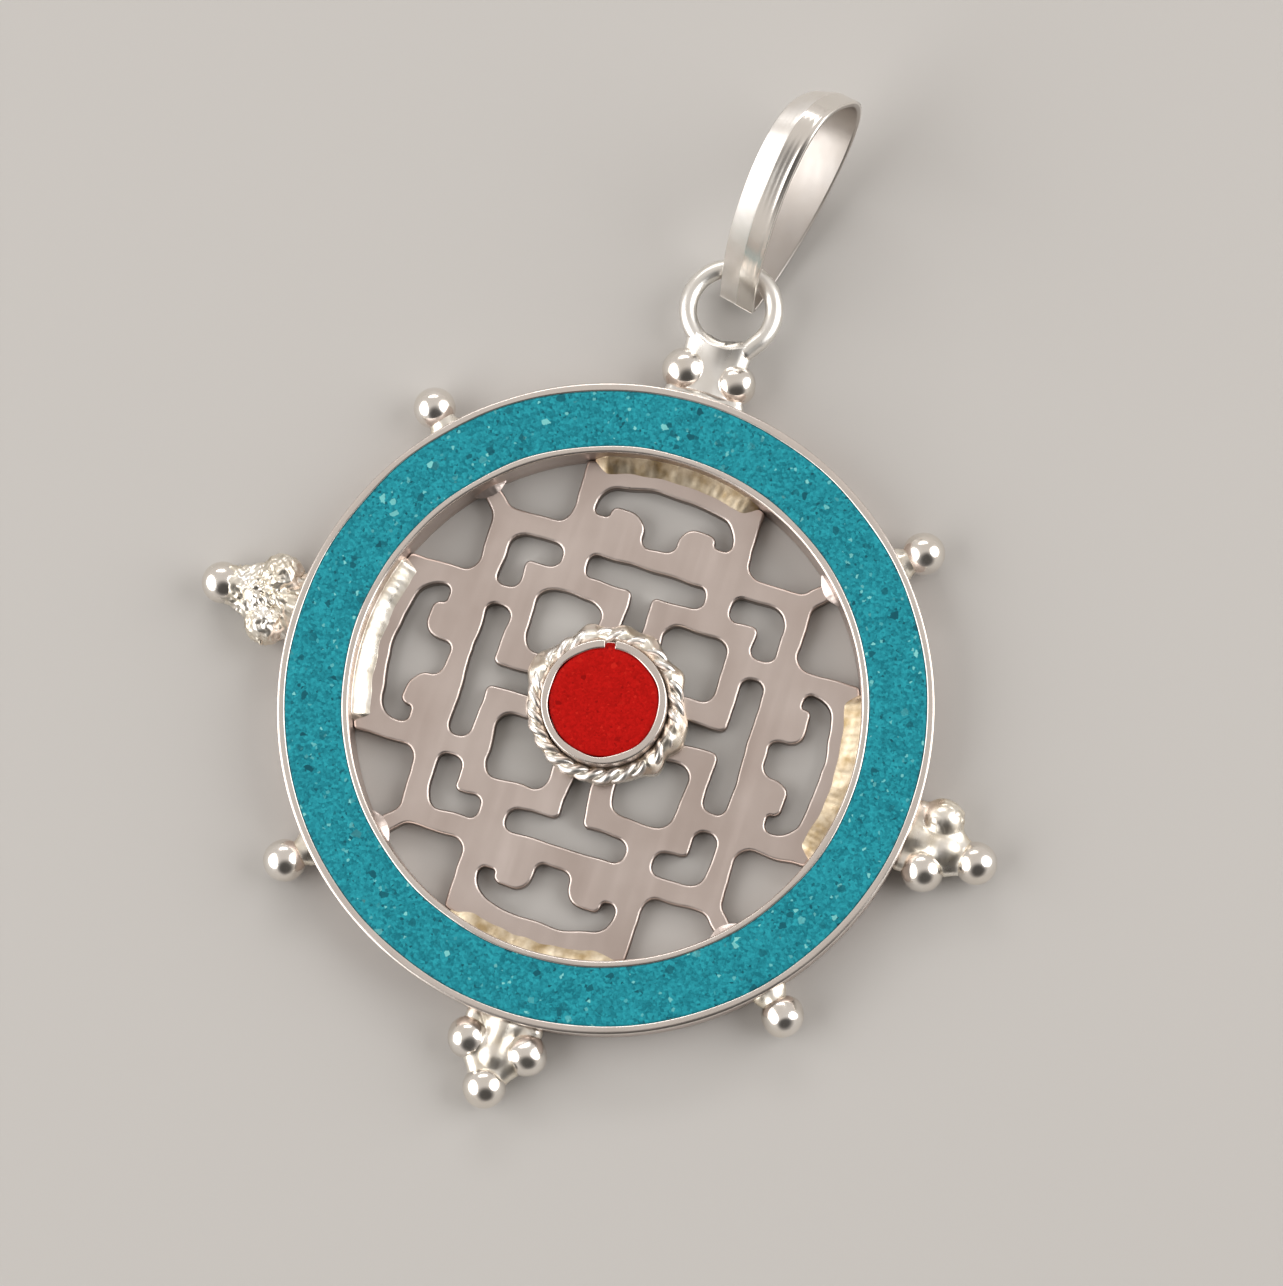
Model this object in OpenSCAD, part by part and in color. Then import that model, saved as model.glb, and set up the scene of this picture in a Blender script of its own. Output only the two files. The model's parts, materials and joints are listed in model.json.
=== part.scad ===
// Dharma wheel pendant in silver: a rim channel filled with crushed turquoise, a pierced disc with a
// coral hub, shot balls round the rim, and a loose bail on a soldered ring. It lies on its back.
// +Z points out of the front, +Y points to the bail, and the origin is the wheel's centre on the back.

/* [Rim] */
// Outside diameter of the rim
rim_od = 33; // [31:0.5:40]
// Radial width of the rim, both walls included
rim_band = 3.65; // [2.4:0.05:4.6]
// Height of the rim from back to front
rim_h = 2.4; // [2:0.1:3.4]
// Thickness of the channel's floor
floor_t = 0.5; // [0.3:0.05:0.8]
// Thickness of the outer wall strip
outer_wall_t = 0.42; // [0.25:0.01:0.7]
// Thickness of the inner wall strip
inner_wall_t = 0.36; // [0.25:0.01:0.7]

/* [Fretwork] */
// Thickness of the pierced disc
disc_t = 0.8; // [0.5:0.05:1.2]
// Width of the T and L slots
slot_w = 1.2; // [0.8:0.05:1.5]
// Width of the silver rails between the openings
rail_w = 1.15; // [0.8:0.05:1.4]
// Width of the stem of each T slot
stem_w = 1.1; // [0.7:0.05:1.4]
// Length of each arm of the L slots, past the slot's own width
ell_arm = 1.6; // [0.8:0.1:2]
// Silver left between a crescent opening and the disc's edge
crescent_margin = 1.5; // [1.2:0.05:1.8]
// Depth of a crescent opening at its middle
crescent_depth = 2.85; // [2.4:0.05:3.2]
// Width of a crescent opening from tip to tip
crescent_w = 7.2; // [6.4:0.1:8]
// Width of the notch in the middle of a crescent
crescent_notch_w = 1.8; // [1.4:0.1:2.2]
// Width of a crescent's tips
tip_w = 0.8; // [0.6:0.05:1]
// How far the tips reach below the lobes
tip_drop = 0.6; // [0.4:0.05:0.8]
// Clear height between a lobe and the crescent's outer edge
lobe_gap = 1.3; // [1:0.05:1.5]
// Width of the four diagonal spokes
spoke_w = 0.9; // [0.6:0.05:1.4]
// Corner radius of the openings
corner_r = 0.5; // [0.2:0.05:0.55]

/* [Solder] */
// Width of the solder run beside each crescent
run_w = 1.0; // [0.5:0.05:1.2]
// Height of the solder run on the inner wall
run_h = 0.9; // [0.4:0.05:1.1]
// Angle that each solder run covers
run_angle = 40; // [30:1:46]
// Width and height of the solder at a spoke's end
spot_w = 0.45; // [0.3:0.05:0.7]
// Thickness of the solder between balls
lump_t = 0.9; // [0.5:0.05:1.2]
// Width of the solder neck behind a single ball
neck_d = 1.1; // [0.7:0.05:1.4]

/* [Hub] */
// How far the hub's base plate reaches past the middle of the twisted surround
hub_plate_lip = 0.35; // [0.1:0.05:0.8]
// Thickness of the hub's base plate
hub_plate_t = 0.3; // [0.2:0.05:0.6]
// Outside diameter of the hub's bezel
bezel_d = 6.3; // [5.4:0.1:6.4]
// Thickness of the bezel strip
bezel_t = 0.4; // [0.25:0.05:0.7]
// Height of the bezel above its plate
bezel_h = 1.8; // [1.2:0.05:2.4]
// Width of the open seam at the top of the bezel
seam_w = 0.5; // [0.2:0.05:0.8]
// Depth of the open seam
seam_depth = 0.6; // [0.2:0.05:0.9]
// Turn of the open seam from +Y, anticlockwise
seam_turn = 11; // [-180:1:180]
// Diameter of each wire of the twisted surround
strand_d = 0.42; // [0.3:0.02:0.44]
// Full turns of the twist round the hub
twist_turns = 12; // [8:1:18]

/* [Shot balls] */
// Diameter of the balls
ball_d = 2.2; // [1.6:0.05:2.3]
// Diameter of the larger top ball on the left
big_ball_d = 2.4; // [1.8:0.05:2.4]
// Gap between the rim and the balls, filled with solder
ball_gap = 0.25; // [0.2:0.05:0.8]
// Turn of the single balls from the vertical axis
ball_turn = 47; // [42:0.5:50]
// Distance between the two inner balls of the left group
left_pitch = 2.6; // [2.3:0.05:3.2]
// Distance between the two inner balls of the right group
right_pitch = 2.75; // [2.3:0.05:3.2]
// Distance between the two inner balls of the bottom group
bottom_pitch = 3; // [2.3:0.05:3.2]
// Distance between the two top balls
top_pitch = 2.7; // [2.4:0.05:3.2]
// How far the left group's outer ball stands beyond the inner two
left_rise = 2.8; // [2.1:0.05:3]
// How far the right group's outer ball stands beyond the inner two
right_rise = 2.3; // [2.1:0.05:3]
// How far the bottom group's outer ball stands beyond the inner two
bottom_rise = 2.1; // [2.1:0.05:3]
// Turn of the left group from -X, clockwise
left_turn = 1; // [-8:0.5:8]
// Turn of the right group from +X, clockwise
right_turn = 6; // [-8:0.5:8]

/* [Hanging ring] */
// Hole diameter of the hanging ring
ring_hole_d = 3.5; // [3.2:0.05:4.4]
// Wire diameter of the hanging ring
ring_wire_d = 0.92; // [0.7:0.02:1]
// Height of the ring's middle above the middle of the balls
ring_lift = 0.35; // [0.1:0.05:0.4]
// Length of the wire end that stands off the ring
tail_len = 1.25; // [0.8:0.05:1.5]
// Place where the wire end leaves the ring, clockwise from +Y
tail_turn = 98; // [80:1:105]
// Outward turn of the wire end
tail_flare = 14; // [8:1:30]

/* [Bail] */
// Length of the bail from foot to top
bail_len = 12.05; // [10.5:0.05:14]
// Depth of the bail between its two legs at the widest place
bail_depth = 7.5; // [6:0.1:8]
// Width of the strip
strip_w = 2.15; // [1.8:0.05:2.5]
// Width of the strip at the foot
foot_w = 2; // [1.4:0.05:2.2]
// Thickness of the strip at its edges
strip_t = 0.28; // [0.2:0.01:0.4]
// Height of the ridge along the middle of the strip
ridge_h = 0.2; // [0.1:0.01:0.3]
// How much lower the top of the loop is on its left edge than on its right edge
top_lean = 0.5; // [0:0.05:0.8]
// Length of the closed foot below the loop
foot_len = 0.2; // [0.15:0.05:0.5]
// Free space on each side of the ring's wire at its seat in the bail
seat_slack = 0.45; // [0.4:0.05:0.8]
// Place of the bail on the ring, clockwise from +Y
bail_sweep = 10.5; // [-15:0.5:15]
// Rise of the bail from the plane of the wheel as it lies
bail_tilt = 32.5; // [25:0.5:36]
// Twist of the bail about its own length as it lies
bail_twist = 8.5; // [0:0.5:14]

/* [Hidden] */
$fn = 180;

// Slack between fitted pieces
fit = 0.01;
// Overlap of a cutter past the face that it cuts
cut = 0.5;
// Points on each rounded corner and on the crescent's long edge
corner_steps = 5;
edge_steps = 12;
// Least number of corner radii that fit side by side in a slot
radii_across = 2.2;

// Radii and heights of the rim
rim_r = rim_od / 2;
disc_r = rim_r - rim_band;
wall_h = rim_h - floor_t;

// Lattice lines of the fretwork, from the disc's edge inwards
crescent_r = disc_r - crescent_margin;
crescent_floor = crescent_r - crescent_depth;
lobe_top = crescent_r - lobe_gap;
tip_bottom = lobe_top - tip_drop;
slot_out = crescent_floor - rail_w;
slot_in = slot_out - slot_w;
window_out = slot_in - rail_w;
window_in = stem_w / 2 + rail_w;
ell_end = slot_in - ell_arm;
tee_half = ell_end - rail_w;
notch_side = crescent_w / 2 + rail_w;
// The openings stop under the hub's twisted surround
hub_solid_r = bezel_d / 2 + strand_d;

// Hub heights and the centre line of the twisted surround
hub_plate_top = disc_t + hub_plate_t;
strand_offset = strand_d / 2 + fit;
twist_r = bezel_d / 2 + strand_d + 2 * fit;
twist_z = hub_plate_top + strand_d + 2 * fit;
hub_plate_r = twist_r + hub_plate_lip;
twist_steps = 12;
twist_sides = 6;

// Balls sit at half the rim's height
ball_r = ball_d / 2;
ball_z = rim_h / 2;
ball_place = rim_r + ball_gap + ball_r;
big_ball_r = big_ball_d / 2;

// The hanging ring sits in the saddle between the two top balls
ring_mid_r = (ring_hole_d + ring_wire_d) / 2;
ring_z = ball_z + ring_lift;
top_y = sqrt(pow(ball_place, 2) - pow(top_pitch / 2, 2));
saddle = ring_mid_r + ring_wire_d / 2 + big_ball_r + fit;
ring_y = top_y + sqrt(pow(saddle, 2) - pow(top_pitch / 2, 2));

// The bail's loop opens from its foot and closes at its top as two powers of the share of its height
leaf_open = 0.82;
leaf_close = 0.35;
leaf_widest = leaf_open / (leaf_open + leaf_close);
leaf_peak = leaf_value(leaf_widest);
// Share of the bail's length over which the strip widens from its foot
widen_share = 0.35;
bail_steps = 48;
// Half the gap that the ring's wire needs in the loop, with its bow and the bail's twist
seat_half_w = (strip_w + foot_w) / 4;
ring_bow = ring_mid_r - sqrt(pow(ring_mid_r, 2) - pow(seat_half_w, 2));
seat_gap = (ring_wire_d / 2 + ring_bow + seat_slack) / cos(bail_twist) + seat_half_w * tan(bail_twist);
// Inside of the loop, and how high above the foot's end its two legs are that gap apart
loop_half = bail_depth / 2 - strip_t;
loop_h = bail_len - strip_t - foot_len;
seat_h = foot_len + loop_h * seat_share(seat_gap * leaf_peak / loop_half, 0, 8);

SIDES = ["top", "left", "bottom", "right"];

silver = [0.80, 0.79, 0.77];
bright_silver = [0.90, 0.90, 0.90];
solder_silver = [0.86, 0.84, 0.78];
turquoise = [0.07, 0.53, 0.56];
coral = [0.75, 0.05, 0.04];

// Points of a circular arc
function arc(centre, r, from, sweep, steps) =
    [for (k = [0 : steps]) centre + r * [cos(from + sweep * k / steps), sin(from + sweep * k / steps)]];

function unit(v) = v / norm(v);

// Turn from one direction to another, between -180 and 180 degrees
function turn_between(from, to) = (to - from + 540) % 360 - 180;

// One corner [x, y, radius] of an outline, as the points of its fillet
function fillet(before, corner, after) =
    let (
        tip = [corner.x, corner.y],
        r = corner.z,
        a = unit([before.x, before.y] - tip),
        b = unit([after.x, after.y] - tip),
        half = acos(a * b) / 2,
        centre = tip + unit(a + b) * r / sin(half),
        start = tip + a * r / tan(half) - centre,
        finish = tip + b * r / tan(half) - centre,
        from = atan2(start.y, start.x)
    )
    arc(centre, r, from, turn_between(from, atan2(finish.y, finish.x)), corner_steps);

// Outline with its corners rounded; a corner with radius 0 stays sharp
function rounded(corners) =
    let (n = len(corners))
    [for (k = [0 : n - 1])
        each corners[k].z == 0
            ? [[corners[k].x, corners[k].y]]
            : fillet(corners[(k + n - 1) % n], corners[k], corners[(k + 1) % n])];

function mirrored_back(corners) = [for (k = [len(corners) - 1 : -1 : 0]) [-corners[k].x, corners[k].y, corners[k].z]];

// Place at a turn clockwise from +Y
function at_turn(r, turn) = [r * sin(turn), r * cos(turn)];

// Flat ring with a rectangular section
module ring_strip(r_out, r_in, h) {
    difference() {
        cylinder(r = r_out, h = h);
        translate([0, 0, -cut]) cylinder(r = r_in, h = h + 2 * cut);
    }
}

module channel_floor() {
    color(silver) ring_strip(rim_r, disc_r, floor_t);
}

module outer_wall() {
    color(silver) translate([0, 0, floor_t]) ring_strip(rim_r, rim_r - outer_wall_t, wall_h);
}

module inner_wall() {
    color(silver) translate([0, 0, floor_t]) ring_strip(disc_r + inner_wall_t, disc_r, wall_h);
}

module turquoise_inlay() {
    color(turquoise) translate([0, 0, floor_t])
        ring_strip(rim_r - outer_wall_t - fit, disc_r + inner_wall_t + fit, wall_h);
}

// Square window beside the hub
module window_2d() {
    r = min(corner_r, (window_out - window_in) / radii_across);
    polygon(rounded([
        [window_in, window_in, r], [window_out, window_in, r],
        [window_out, window_out, r], [window_in, window_out, r]
    ]));
}

// T slot: a bar with a stem that runs in under the hub's surround
module tee_2d() {
    r = min(corner_r, slot_w / radii_across);
    half = [
        [stem_w / 2, 0, 0], [stem_w / 2, slot_in, r / 2],
        [tee_half, slot_in, r], [tee_half, slot_out, r]
    ];
    polygon(rounded(concat(half, mirrored_back(half))));
}

// L slot on the diagonal
module ell_2d() {
    r = min(corner_r, slot_w / radii_across);
    polygon(rounded([
        [ell_end, slot_in, r], [slot_in, slot_in, r / 2], [slot_in, ell_end, r],
        [slot_out, ell_end, r], [slot_out, slot_out, r], [ell_end, slot_out, r]
    ]));
}

// Crescent opening with two lobes and a middle notch
module crescent_2d() {
    half_w = crescent_w / 2;
    half_notch = crescent_notch_w / 2;
    tip_in = half_w - tip_w;
    tip_r = tip_w / radii_across;
    lobe_r = (tip_in - half_notch) / radii_across;
    end_turn = asin((half_w - tip_r / 2) / crescent_r);
    edge = [for (p = arc([0, 0], crescent_r, 90 - end_turn, 2 * end_turn, edge_steps)) [p.x, p.y, 0]];
    half = [
        [half_notch, crescent_floor, corner_r], [half_notch, lobe_top, lobe_r],
        [tip_in, lobe_top, tip_r], [tip_in, tip_bottom, tip_r / 2],
        [half_w, tip_bottom, tip_r], [half_w, edge[0].y - tip_r, tip_r / 2]
    ];
    polygon(rounded(concat(half, edge, mirrored_back(half))));
}

// Notch at the disc's edge, between a crescent's rail and a diagonal spoke
module edge_notch_2d() {
    spoke_step = spoke_w / sqrt(2);
    far = disc_r + cut;
    polygon(rounded([
        [notch_side, crescent_floor, corner_r],
        [crescent_floor - spoke_step, crescent_floor, corner_r],
        [far - spoke_step, far, 0], [notch_side, far, 0]
    ]));
}

module fret_disc() {
    color(silver) linear_extrude(disc_t) difference() {
        circle(r = disc_r - fit);
        for (quarter = [0 : 3]) rotate(90 * quarter) {
            difference() {
                union() {
                    window_2d();
                    tee_2d();
                }
                circle(r = hub_solid_r);
            }
            ell_2d();
            crescent_2d();
            edge_notch_2d();
            mirror([1, -1]) edge_notch_2d();
        }
    }
}

// Solder in the corner between the disc and the inner wall, hollow to the front
module solder_run(w, h, angle) {
    foot_r = disc_r - fit;
    hollow = 0.3;
    rotate(90 - angle / 2) translate([0, 0, disc_t]) rotate_extrude(angle = angle)
        polygon([
            [foot_r - w, 0], [foot_r, 0], [foot_r, h],
            [foot_r - w * hollow, h * hollow]
        ]);
}

module side_run(side) {
    color(solder_silver) rotate(90 * side) solder_run(run_w, min(run_h, rim_h - disc_t), run_angle);
}

module spoke_solder() {
    spot_angle = spoke_w / disc_r * 180 / PI;
    color(solder_silver) for (quarter = [0 : 3]) rotate(45 + 90 * quarter)
        solder_run(spot_w, min(spot_w, rim_h - disc_t), spot_angle);
}

module hub_plate() {
    color(silver) translate([0, 0, disc_t]) cylinder(r = hub_plate_r, h = hub_plate_t);
}

module hub_bezel() {
    color(silver) translate([0, 0, hub_plate_top]) difference() {
        ring_strip(bezel_d / 2, bezel_d / 2 - bezel_t, bezel_h);
        rotate(seam_turn) translate([-seam_w / 2, 0, bezel_h - seam_depth])
            cube([seam_w, bezel_d, seam_depth + cut]);
    }
}

module coral_inlay() {
    color(coral) translate([0, 0, hub_plate_top]) cylinder(r = bezel_d / 2 - bezel_t - fit, h = bezel_h);
}

// Middle of a strand at a turn round the hub, and the direction away from the twist's own axis
function strand_out(turn, phase) =
    let (spin = twist_turns * turn + phase)
    [cos(spin) * cos(turn), cos(spin) * sin(turn), sin(spin)];
function strand_mid(turn, phase) =
    [twist_r * cos(turn), twist_r * sin(turn), twist_z] + strand_offset * strand_out(turn, phase);

// One wire of the twist, wound round the twist's axis as that runs round the hub
module twist_strand(phase) {
    rings = twist_turns * twist_steps;
    step = 360 / rings;
    points = [for (k = [0 : rings - 1])
        let (
            turn = k * step,
            out = strand_out(turn, phase),
            along = unit(strand_mid(turn + step / 2, phase) - strand_mid(turn - step / 2, phase)),
            across = cross(along, out)
        )
        for (j = [0 : twist_sides - 1])
            strand_mid(turn, phase)
                + strand_d / 2 * (cos(360 * j / twist_sides) * out + sin(360 * j / twist_sides) * across)];
    polyhedron(points, loop_faces(rings, twist_sides));
}

// Faces of a closed loop of equal rings of points
function loop_faces(rings, sides) =
    [for (k = [0 : rings - 1]) for (j = [0 : sides - 1])
        let (
            this = k * sides,
            next = (k + 1) % rings * sides,
            other = (j + 1) % sides
        )
        each [
            [this + j, next + j, next + other],
            [this + j, next + other, this + other]
        ]];

module twist_strand_a() {
    color(bright_silver) twist_strand(0);
}

module twist_strand_b() {
    color(bright_silver) twist_strand(180);
}

// Centres of the single balls, clockwise from the upper right
single_turns = [ball_turn, 180 - ball_turn, 180 + ball_turn, -ball_turn];

module rim_ball(index) {
    centre = at_turn(ball_place, single_turns[index]);
    color(bright_silver) translate([centre.x, centre.y, ball_z]) sphere(d = ball_d);
}

// Solder neck between the rim and each single ball
module ball_solder() {
    color(solder_silver) for (turn = single_turns) rotate(-turn) difference() {
        translate([0, rim_r - cut, ball_z]) rotate([-90, 0, 0]) cylinder(d = neck_d, h = ball_gap + ball_r);
        cylinder(r = rim_r + fit, h = rim_h);
        translate([0, ball_place, ball_z]) sphere(r = ball_r + fit);
    }
}

// Centres of a group of three balls on the +Y side: two beside the rim and one beyond them
function group_base_y(pitch) = sqrt(pow(ball_place, 2) - pow(pitch / 2, 2));
function group_centres(pitch, rise) = [
    [0, group_base_y(pitch) + rise, ball_z],
    [pitch / 2, group_base_y(pitch), ball_z],
    [-pitch / 2, group_base_y(pitch), ball_z]
];

module group_ball(turn, pitch, rise, index) {
    color(bright_silver) rotate(-turn) translate(group_centres(pitch, rise)[index]) sphere(d = ball_d);
}

// Solder that joins a group of three balls to each other and to the rim
module group_solder(turn, pitch, rise) {
    centres = group_centres(pitch, rise);
    color(solder_silver) rotate(-turn) difference() {
        translate([0, 0, ball_z - lump_t / 2]) linear_extrude(lump_t) polygon([
            [-pitch / 2, rim_r - cut], [pitch / 2, rim_r - cut],
            [centres[1].x, centres[1].y], [centres[0].x, centres[0].y], [centres[2].x, centres[2].y]
        ]);
        cylinder(r = rim_r + fit, h = rim_h);
        for (centre = centres) translate(centre) sphere(r = ball_r + fit);
    }
}

left_place = 270 + left_turn;
right_place = 90 + right_turn;
bottom_place = 180;

module top_ball(side, r) {
    color(bright_silver) translate([side * top_pitch / 2, top_y, ball_z]) sphere(r = r);
}

// Round wire bent to a closed ring
module wire_ring(wire_d) {
    translate([0, ring_y, ring_z]) rotate_extrude() translate([ring_mid_r, 0]) circle(d = wire_d);
}

module hang_ring() {
    color(bright_silver) union() {
        wire_ring(ring_wire_d);
        translate([0, ring_y, ring_z]) rotate(-tail_turn) translate([0, ring_mid_r, 0])
            rotate([0, 90, tail_flare]) cylinder(d = ring_wire_d - 2 * fit, h = tail_len);
    }
}

// Solder bridge from the rim, between the two top balls, to the hanging ring
module ring_solder() {
    near = rim_r - cut;
    far = ring_y - ring_mid_r;
    color(solder_silver) difference() {
        translate([0, 0, ball_z - lump_t / 2]) linear_extrude(lump_t) polygon([
            [-top_pitch / 2, near], [top_pitch / 2, near], [top_pitch / 2, top_y],
            [top_pitch / 4, far], [-top_pitch / 4, far], [-top_pitch / 2, top_y]
        ]);
        cylinder(r = rim_r + fit, h = rim_h);
        translate([-top_pitch / 2, top_y, ball_z]) sphere(r = big_ball_r + fit);
        translate([top_pitch / 2, top_y, ball_z]) sphere(r = ball_r + fit);
        wire_ring(ring_wire_d + 2 * fit);
    }
}

// Half the loop's depth at a share of its height, as a share of the greatest
function leaf_value(share) = pow(share, leaf_open) * pow(1 - share, leaf_close);
function leaf(share) = leaf_value(share) / leaf_peak;

// Share of the loop's height at which its half depth has the given value, by repeated steps
function seat_share(value, share, steps) =
    steps == 0 ? share : seat_share(value, pow(value / pow(1 - share, leaf_close), 1 / leaf_open), steps - 1);

// Point of the loop: across the strip, along the bail and out of its middle plane
function loop_point(across, turn, low, high, half) =
    let (share = (1 - cos(turn)) / 2, w = foot_w + (strip_w - foot_w) * min(1, share / widen_share))
    let (top = high - top_lean * (1 - across) / 2)
    [across * w / 2, low + (top - low) * share, sign(180 - turn) * half * leaf(share)];

// Section of the strip at a turn round the loop, with the ring's wire at the origin
function strip_section(turn) =
    let (low = -seat_h, high = bail_len - seat_h, half = bail_depth / 2)
    [
        loop_point(-1, turn, low, high, half),
        loop_point(0, turn, low, high + ridge_h, half + ridge_h),
        loop_point(1, turn, low, high, half),
        loop_point(1, turn, low + foot_len, high - strip_t, loop_half),
        loop_point(-1, turn, low + foot_len, high - strip_t, loop_half)
    ];
function loop_points() = [for (k = [0 : bail_steps - 1]) each strip_section(360 * k / bail_steps)];

// Ridged strip bent to a drop-shaped loop and hung on the ring
module bail() {
    seat = at_turn(ring_mid_r, bail_sweep);
    color(bright_silver) translate([seat.x, ring_y + seat.y, ring_z])
        rotate(-bail_sweep) rotate([bail_tilt, 0, 0]) rotate([0, -bail_twist, 0])
            polyhedron(loop_points(), loop_faces(bail_steps, len(strip_section(0))));
}

channel_floor();
outer_wall();
inner_wall();
turquoise_inlay();
fret_disc();
for (k = [0 : 3])
    side_run(k);
spoke_solder();
hub_plate();
hub_bezel();
coral_inlay();
twist_strand_a();
twist_strand_b();
for (k = [0 : 3])
    rim_ball(k);
ball_solder();
for (k = [0 : 2]) {
    group_ball(left_place, left_pitch, left_rise, k);
    group_ball(right_place, right_pitch, right_rise, k);
    group_ball(bottom_place, bottom_pitch, bottom_rise, k);
}
group_solder(left_place, left_pitch, left_rise);  // left_solder
group_solder(right_place, right_pitch, right_rise);  // right_solder
group_solder(bottom_place, bottom_pitch, bottom_rise);  // bottom_solder
top_ball(-1, big_ball_r);  // top_ball_left
top_ball(1, ball_r);  // top_ball_right
hang_ring();
ring_solder();
bail();
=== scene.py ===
"""Dharma wheel pendant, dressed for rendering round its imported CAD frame.

Lengths are in millimetres until a mesh is written. +Z is the front and +Y runs to the bail.
"""

import json
import logging
import math
from collections.abc import Callable
from dataclasses import dataclass, field
from enum import Enum

import bpy
import numpy as np
from mathutils import Matrix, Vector
from mathutils.geometry import delaunay_2d_cdt


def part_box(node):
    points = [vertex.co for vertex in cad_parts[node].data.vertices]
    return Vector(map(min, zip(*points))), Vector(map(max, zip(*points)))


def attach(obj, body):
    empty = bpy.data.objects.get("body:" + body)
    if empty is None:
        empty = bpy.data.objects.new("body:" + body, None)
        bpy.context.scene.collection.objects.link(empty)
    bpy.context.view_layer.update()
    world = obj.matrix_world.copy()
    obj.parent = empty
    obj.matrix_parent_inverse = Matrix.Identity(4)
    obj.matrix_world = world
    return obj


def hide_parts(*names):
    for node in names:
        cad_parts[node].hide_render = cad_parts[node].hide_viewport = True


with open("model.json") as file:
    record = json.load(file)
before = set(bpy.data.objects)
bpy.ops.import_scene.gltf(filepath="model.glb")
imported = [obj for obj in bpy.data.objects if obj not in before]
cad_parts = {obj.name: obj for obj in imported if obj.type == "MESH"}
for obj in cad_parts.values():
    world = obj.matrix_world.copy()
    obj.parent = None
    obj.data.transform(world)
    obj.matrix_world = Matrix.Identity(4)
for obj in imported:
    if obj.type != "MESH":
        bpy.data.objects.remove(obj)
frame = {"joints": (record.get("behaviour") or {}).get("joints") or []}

LOG = logging.getLogger("pendant")
MM = 0.001
TAU = 2 * math.pi
UP = np.array([0, 0, 1])
POLE_GAP = 0.02
AXIS_GAP = 0.01
ARC_POINTS = 7

Corner = tuple[float, float, float]
Pair = tuple[float, float]
Four = tuple[float, float, float, float]
Node, Socket = bpy.types.Node, bpy.types.NodeSocket


class Finish(Enum):
    """Finishes of the pendant."""

    SATIN = "emery_satin_silver"
    BRIGHT = "buffed_silver"
    STRIP = "drawn_silver_strip"
    WIRE = "tumbled_silver_wire"
    SOLDER = "run_silver_solder"
    FILLET = "flooded_silver_solder"
    TURQUOISE = "crushed_turquoise_resin"
    CORAL = "coral_red_resin"


# Shapes


@dataclass
class Shell:
    """A closed surface in millimetres.

    A value for each point colours it: 1 where handling has worn it whiter, partly wear and partly a painted
    highlight, and -1 where a wall cut by the fretsaw is darkened with painted shade.
    """

    points: np.ndarray
    quads: np.ndarray
    tris: np.ndarray
    normals: np.ndarray | None = None
    polish: np.ndarray | None = None

    def volume(self) -> float:
        """Signed volume, the sum of the tetrahedra from the middle to each triangle."""
        tris = np.concatenate([self.tris, self.quads[:, [0, 1, 2]], self.quads[:, [0, 2, 3]]])
        a, b, c = ((self.points - self.points.mean(0))[tris[:, k]] for k in range(3))
        return float((a * np.cross(b, c)).sum() / 6)

    def outward(self) -> "Shell":
        """The same surface with its faces turned outwards."""
        if self.volume() < 0:
            self.quads, self.tris = self.quads[:, ::-1], self.tris[:, ::-1]
        return self

    def polar(self) -> tuple[np.ndarray, np.ndarray]:
        """Turn of each point round the Z axis, in radians, and its distance from the axis."""
        flat = self.points[:, :2]
        return np.arctan2(flat[:, 1], flat[:, 0]), np.linalg.norm(flat, axis=1)


def joined(shells: list[Shell]) -> Shell:
    """Several separate surfaces as one."""
    starts = np.cumsum([0] + [len(s.points) for s in shells[:-1]])
    return Shell(
        np.concatenate([s.points for s in shells]),
        np.concatenate([s.quads + k for s, k in zip(shells, starts)]),
        np.concatenate([s.tris + k for s, k in zip(shells, starts)]),
    )


def unit(vectors: np.ndarray) -> np.ndarray:
    """Vectors at length 1, along the last axis."""
    return vectors / np.maximum(np.linalg.norm(vectors, axis=-1, keepdims=True), 1e-12)


def turns(count: int) -> np.ndarray:
    """Angles at equal steps of a full turn, in radians."""
    return np.arange(count) * TAU / count


def globe(rows: int, cols: int) -> np.ndarray:
    """Directions all round, by lean from just off the top to just off the foot, and by turn."""
    lean, turn = np.linspace(POLE_GAP, math.pi - POLE_GAP, rows)[:, None], turns(cols)
    parts = np.sin(lean) * np.cos(turn), np.sin(lean) * np.sin(turn), np.cos(lean)
    return np.stack(np.broadcast_arrays(*parts), -1)


def swept(radius: np.ndarray, height: np.ndarray, turn: np.ndarray) -> np.ndarray:
    """Points of sections that stand round the Z axis, by turn, by place on the section, by axis."""
    return np.stack([radius * np.cos(turn)[:, None], radius * np.sin(turn)[:, None], height], -1)


def band_quads(rows: int, cols: int, closed: bool) -> np.ndarray:
    """Quads between neighbouring rings of points.

    Args:
        rows: number of rings.
        cols: points in each ring, which closes on itself.
        closed: whether the last ring joins the first.
    Returns:
        Corner numbers, four to a face.
    """
    row = np.arange(rows if closed else rows - 1)[:, None]
    this = row * cols + np.arange(cols)
    after = (row + 1) % rows * cols + np.arange(cols)
    return np.stack([this, np.roll(this, -1, 1), np.roll(after, -1, 1), after], -1).reshape(-1, 4)


def loft(rings: np.ndarray, closed: bool) -> Shell:
    """A surface through rings of points.

    An open one is closed at each end by a fan round the middle of its end ring.

    Args:
        rings: points by ring, by place round the ring, by axis.
        closed: whether the last ring joins the first.
    Returns:
        The surface, faces outwards.
    """
    rows, cols = rings.shape[:2]
    points, tris = rings.reshape(-1, 3), np.zeros((0, 3), int)
    if not closed:
        first, last = np.arange(cols), np.arange(cols) + (rows - 1) * cols
        hub = np.full(cols, len(points))
        tris = np.concatenate([
            np.stack([np.roll(first, -1), first, hub], -1),
            np.stack([last, np.roll(last, -1), hub + 1], -1),
        ])
        points = np.concatenate([points, rings[[0, -1]].mean(1)])
    return Shell(points, band_quads(rows, cols, closed), tris).outward()


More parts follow.
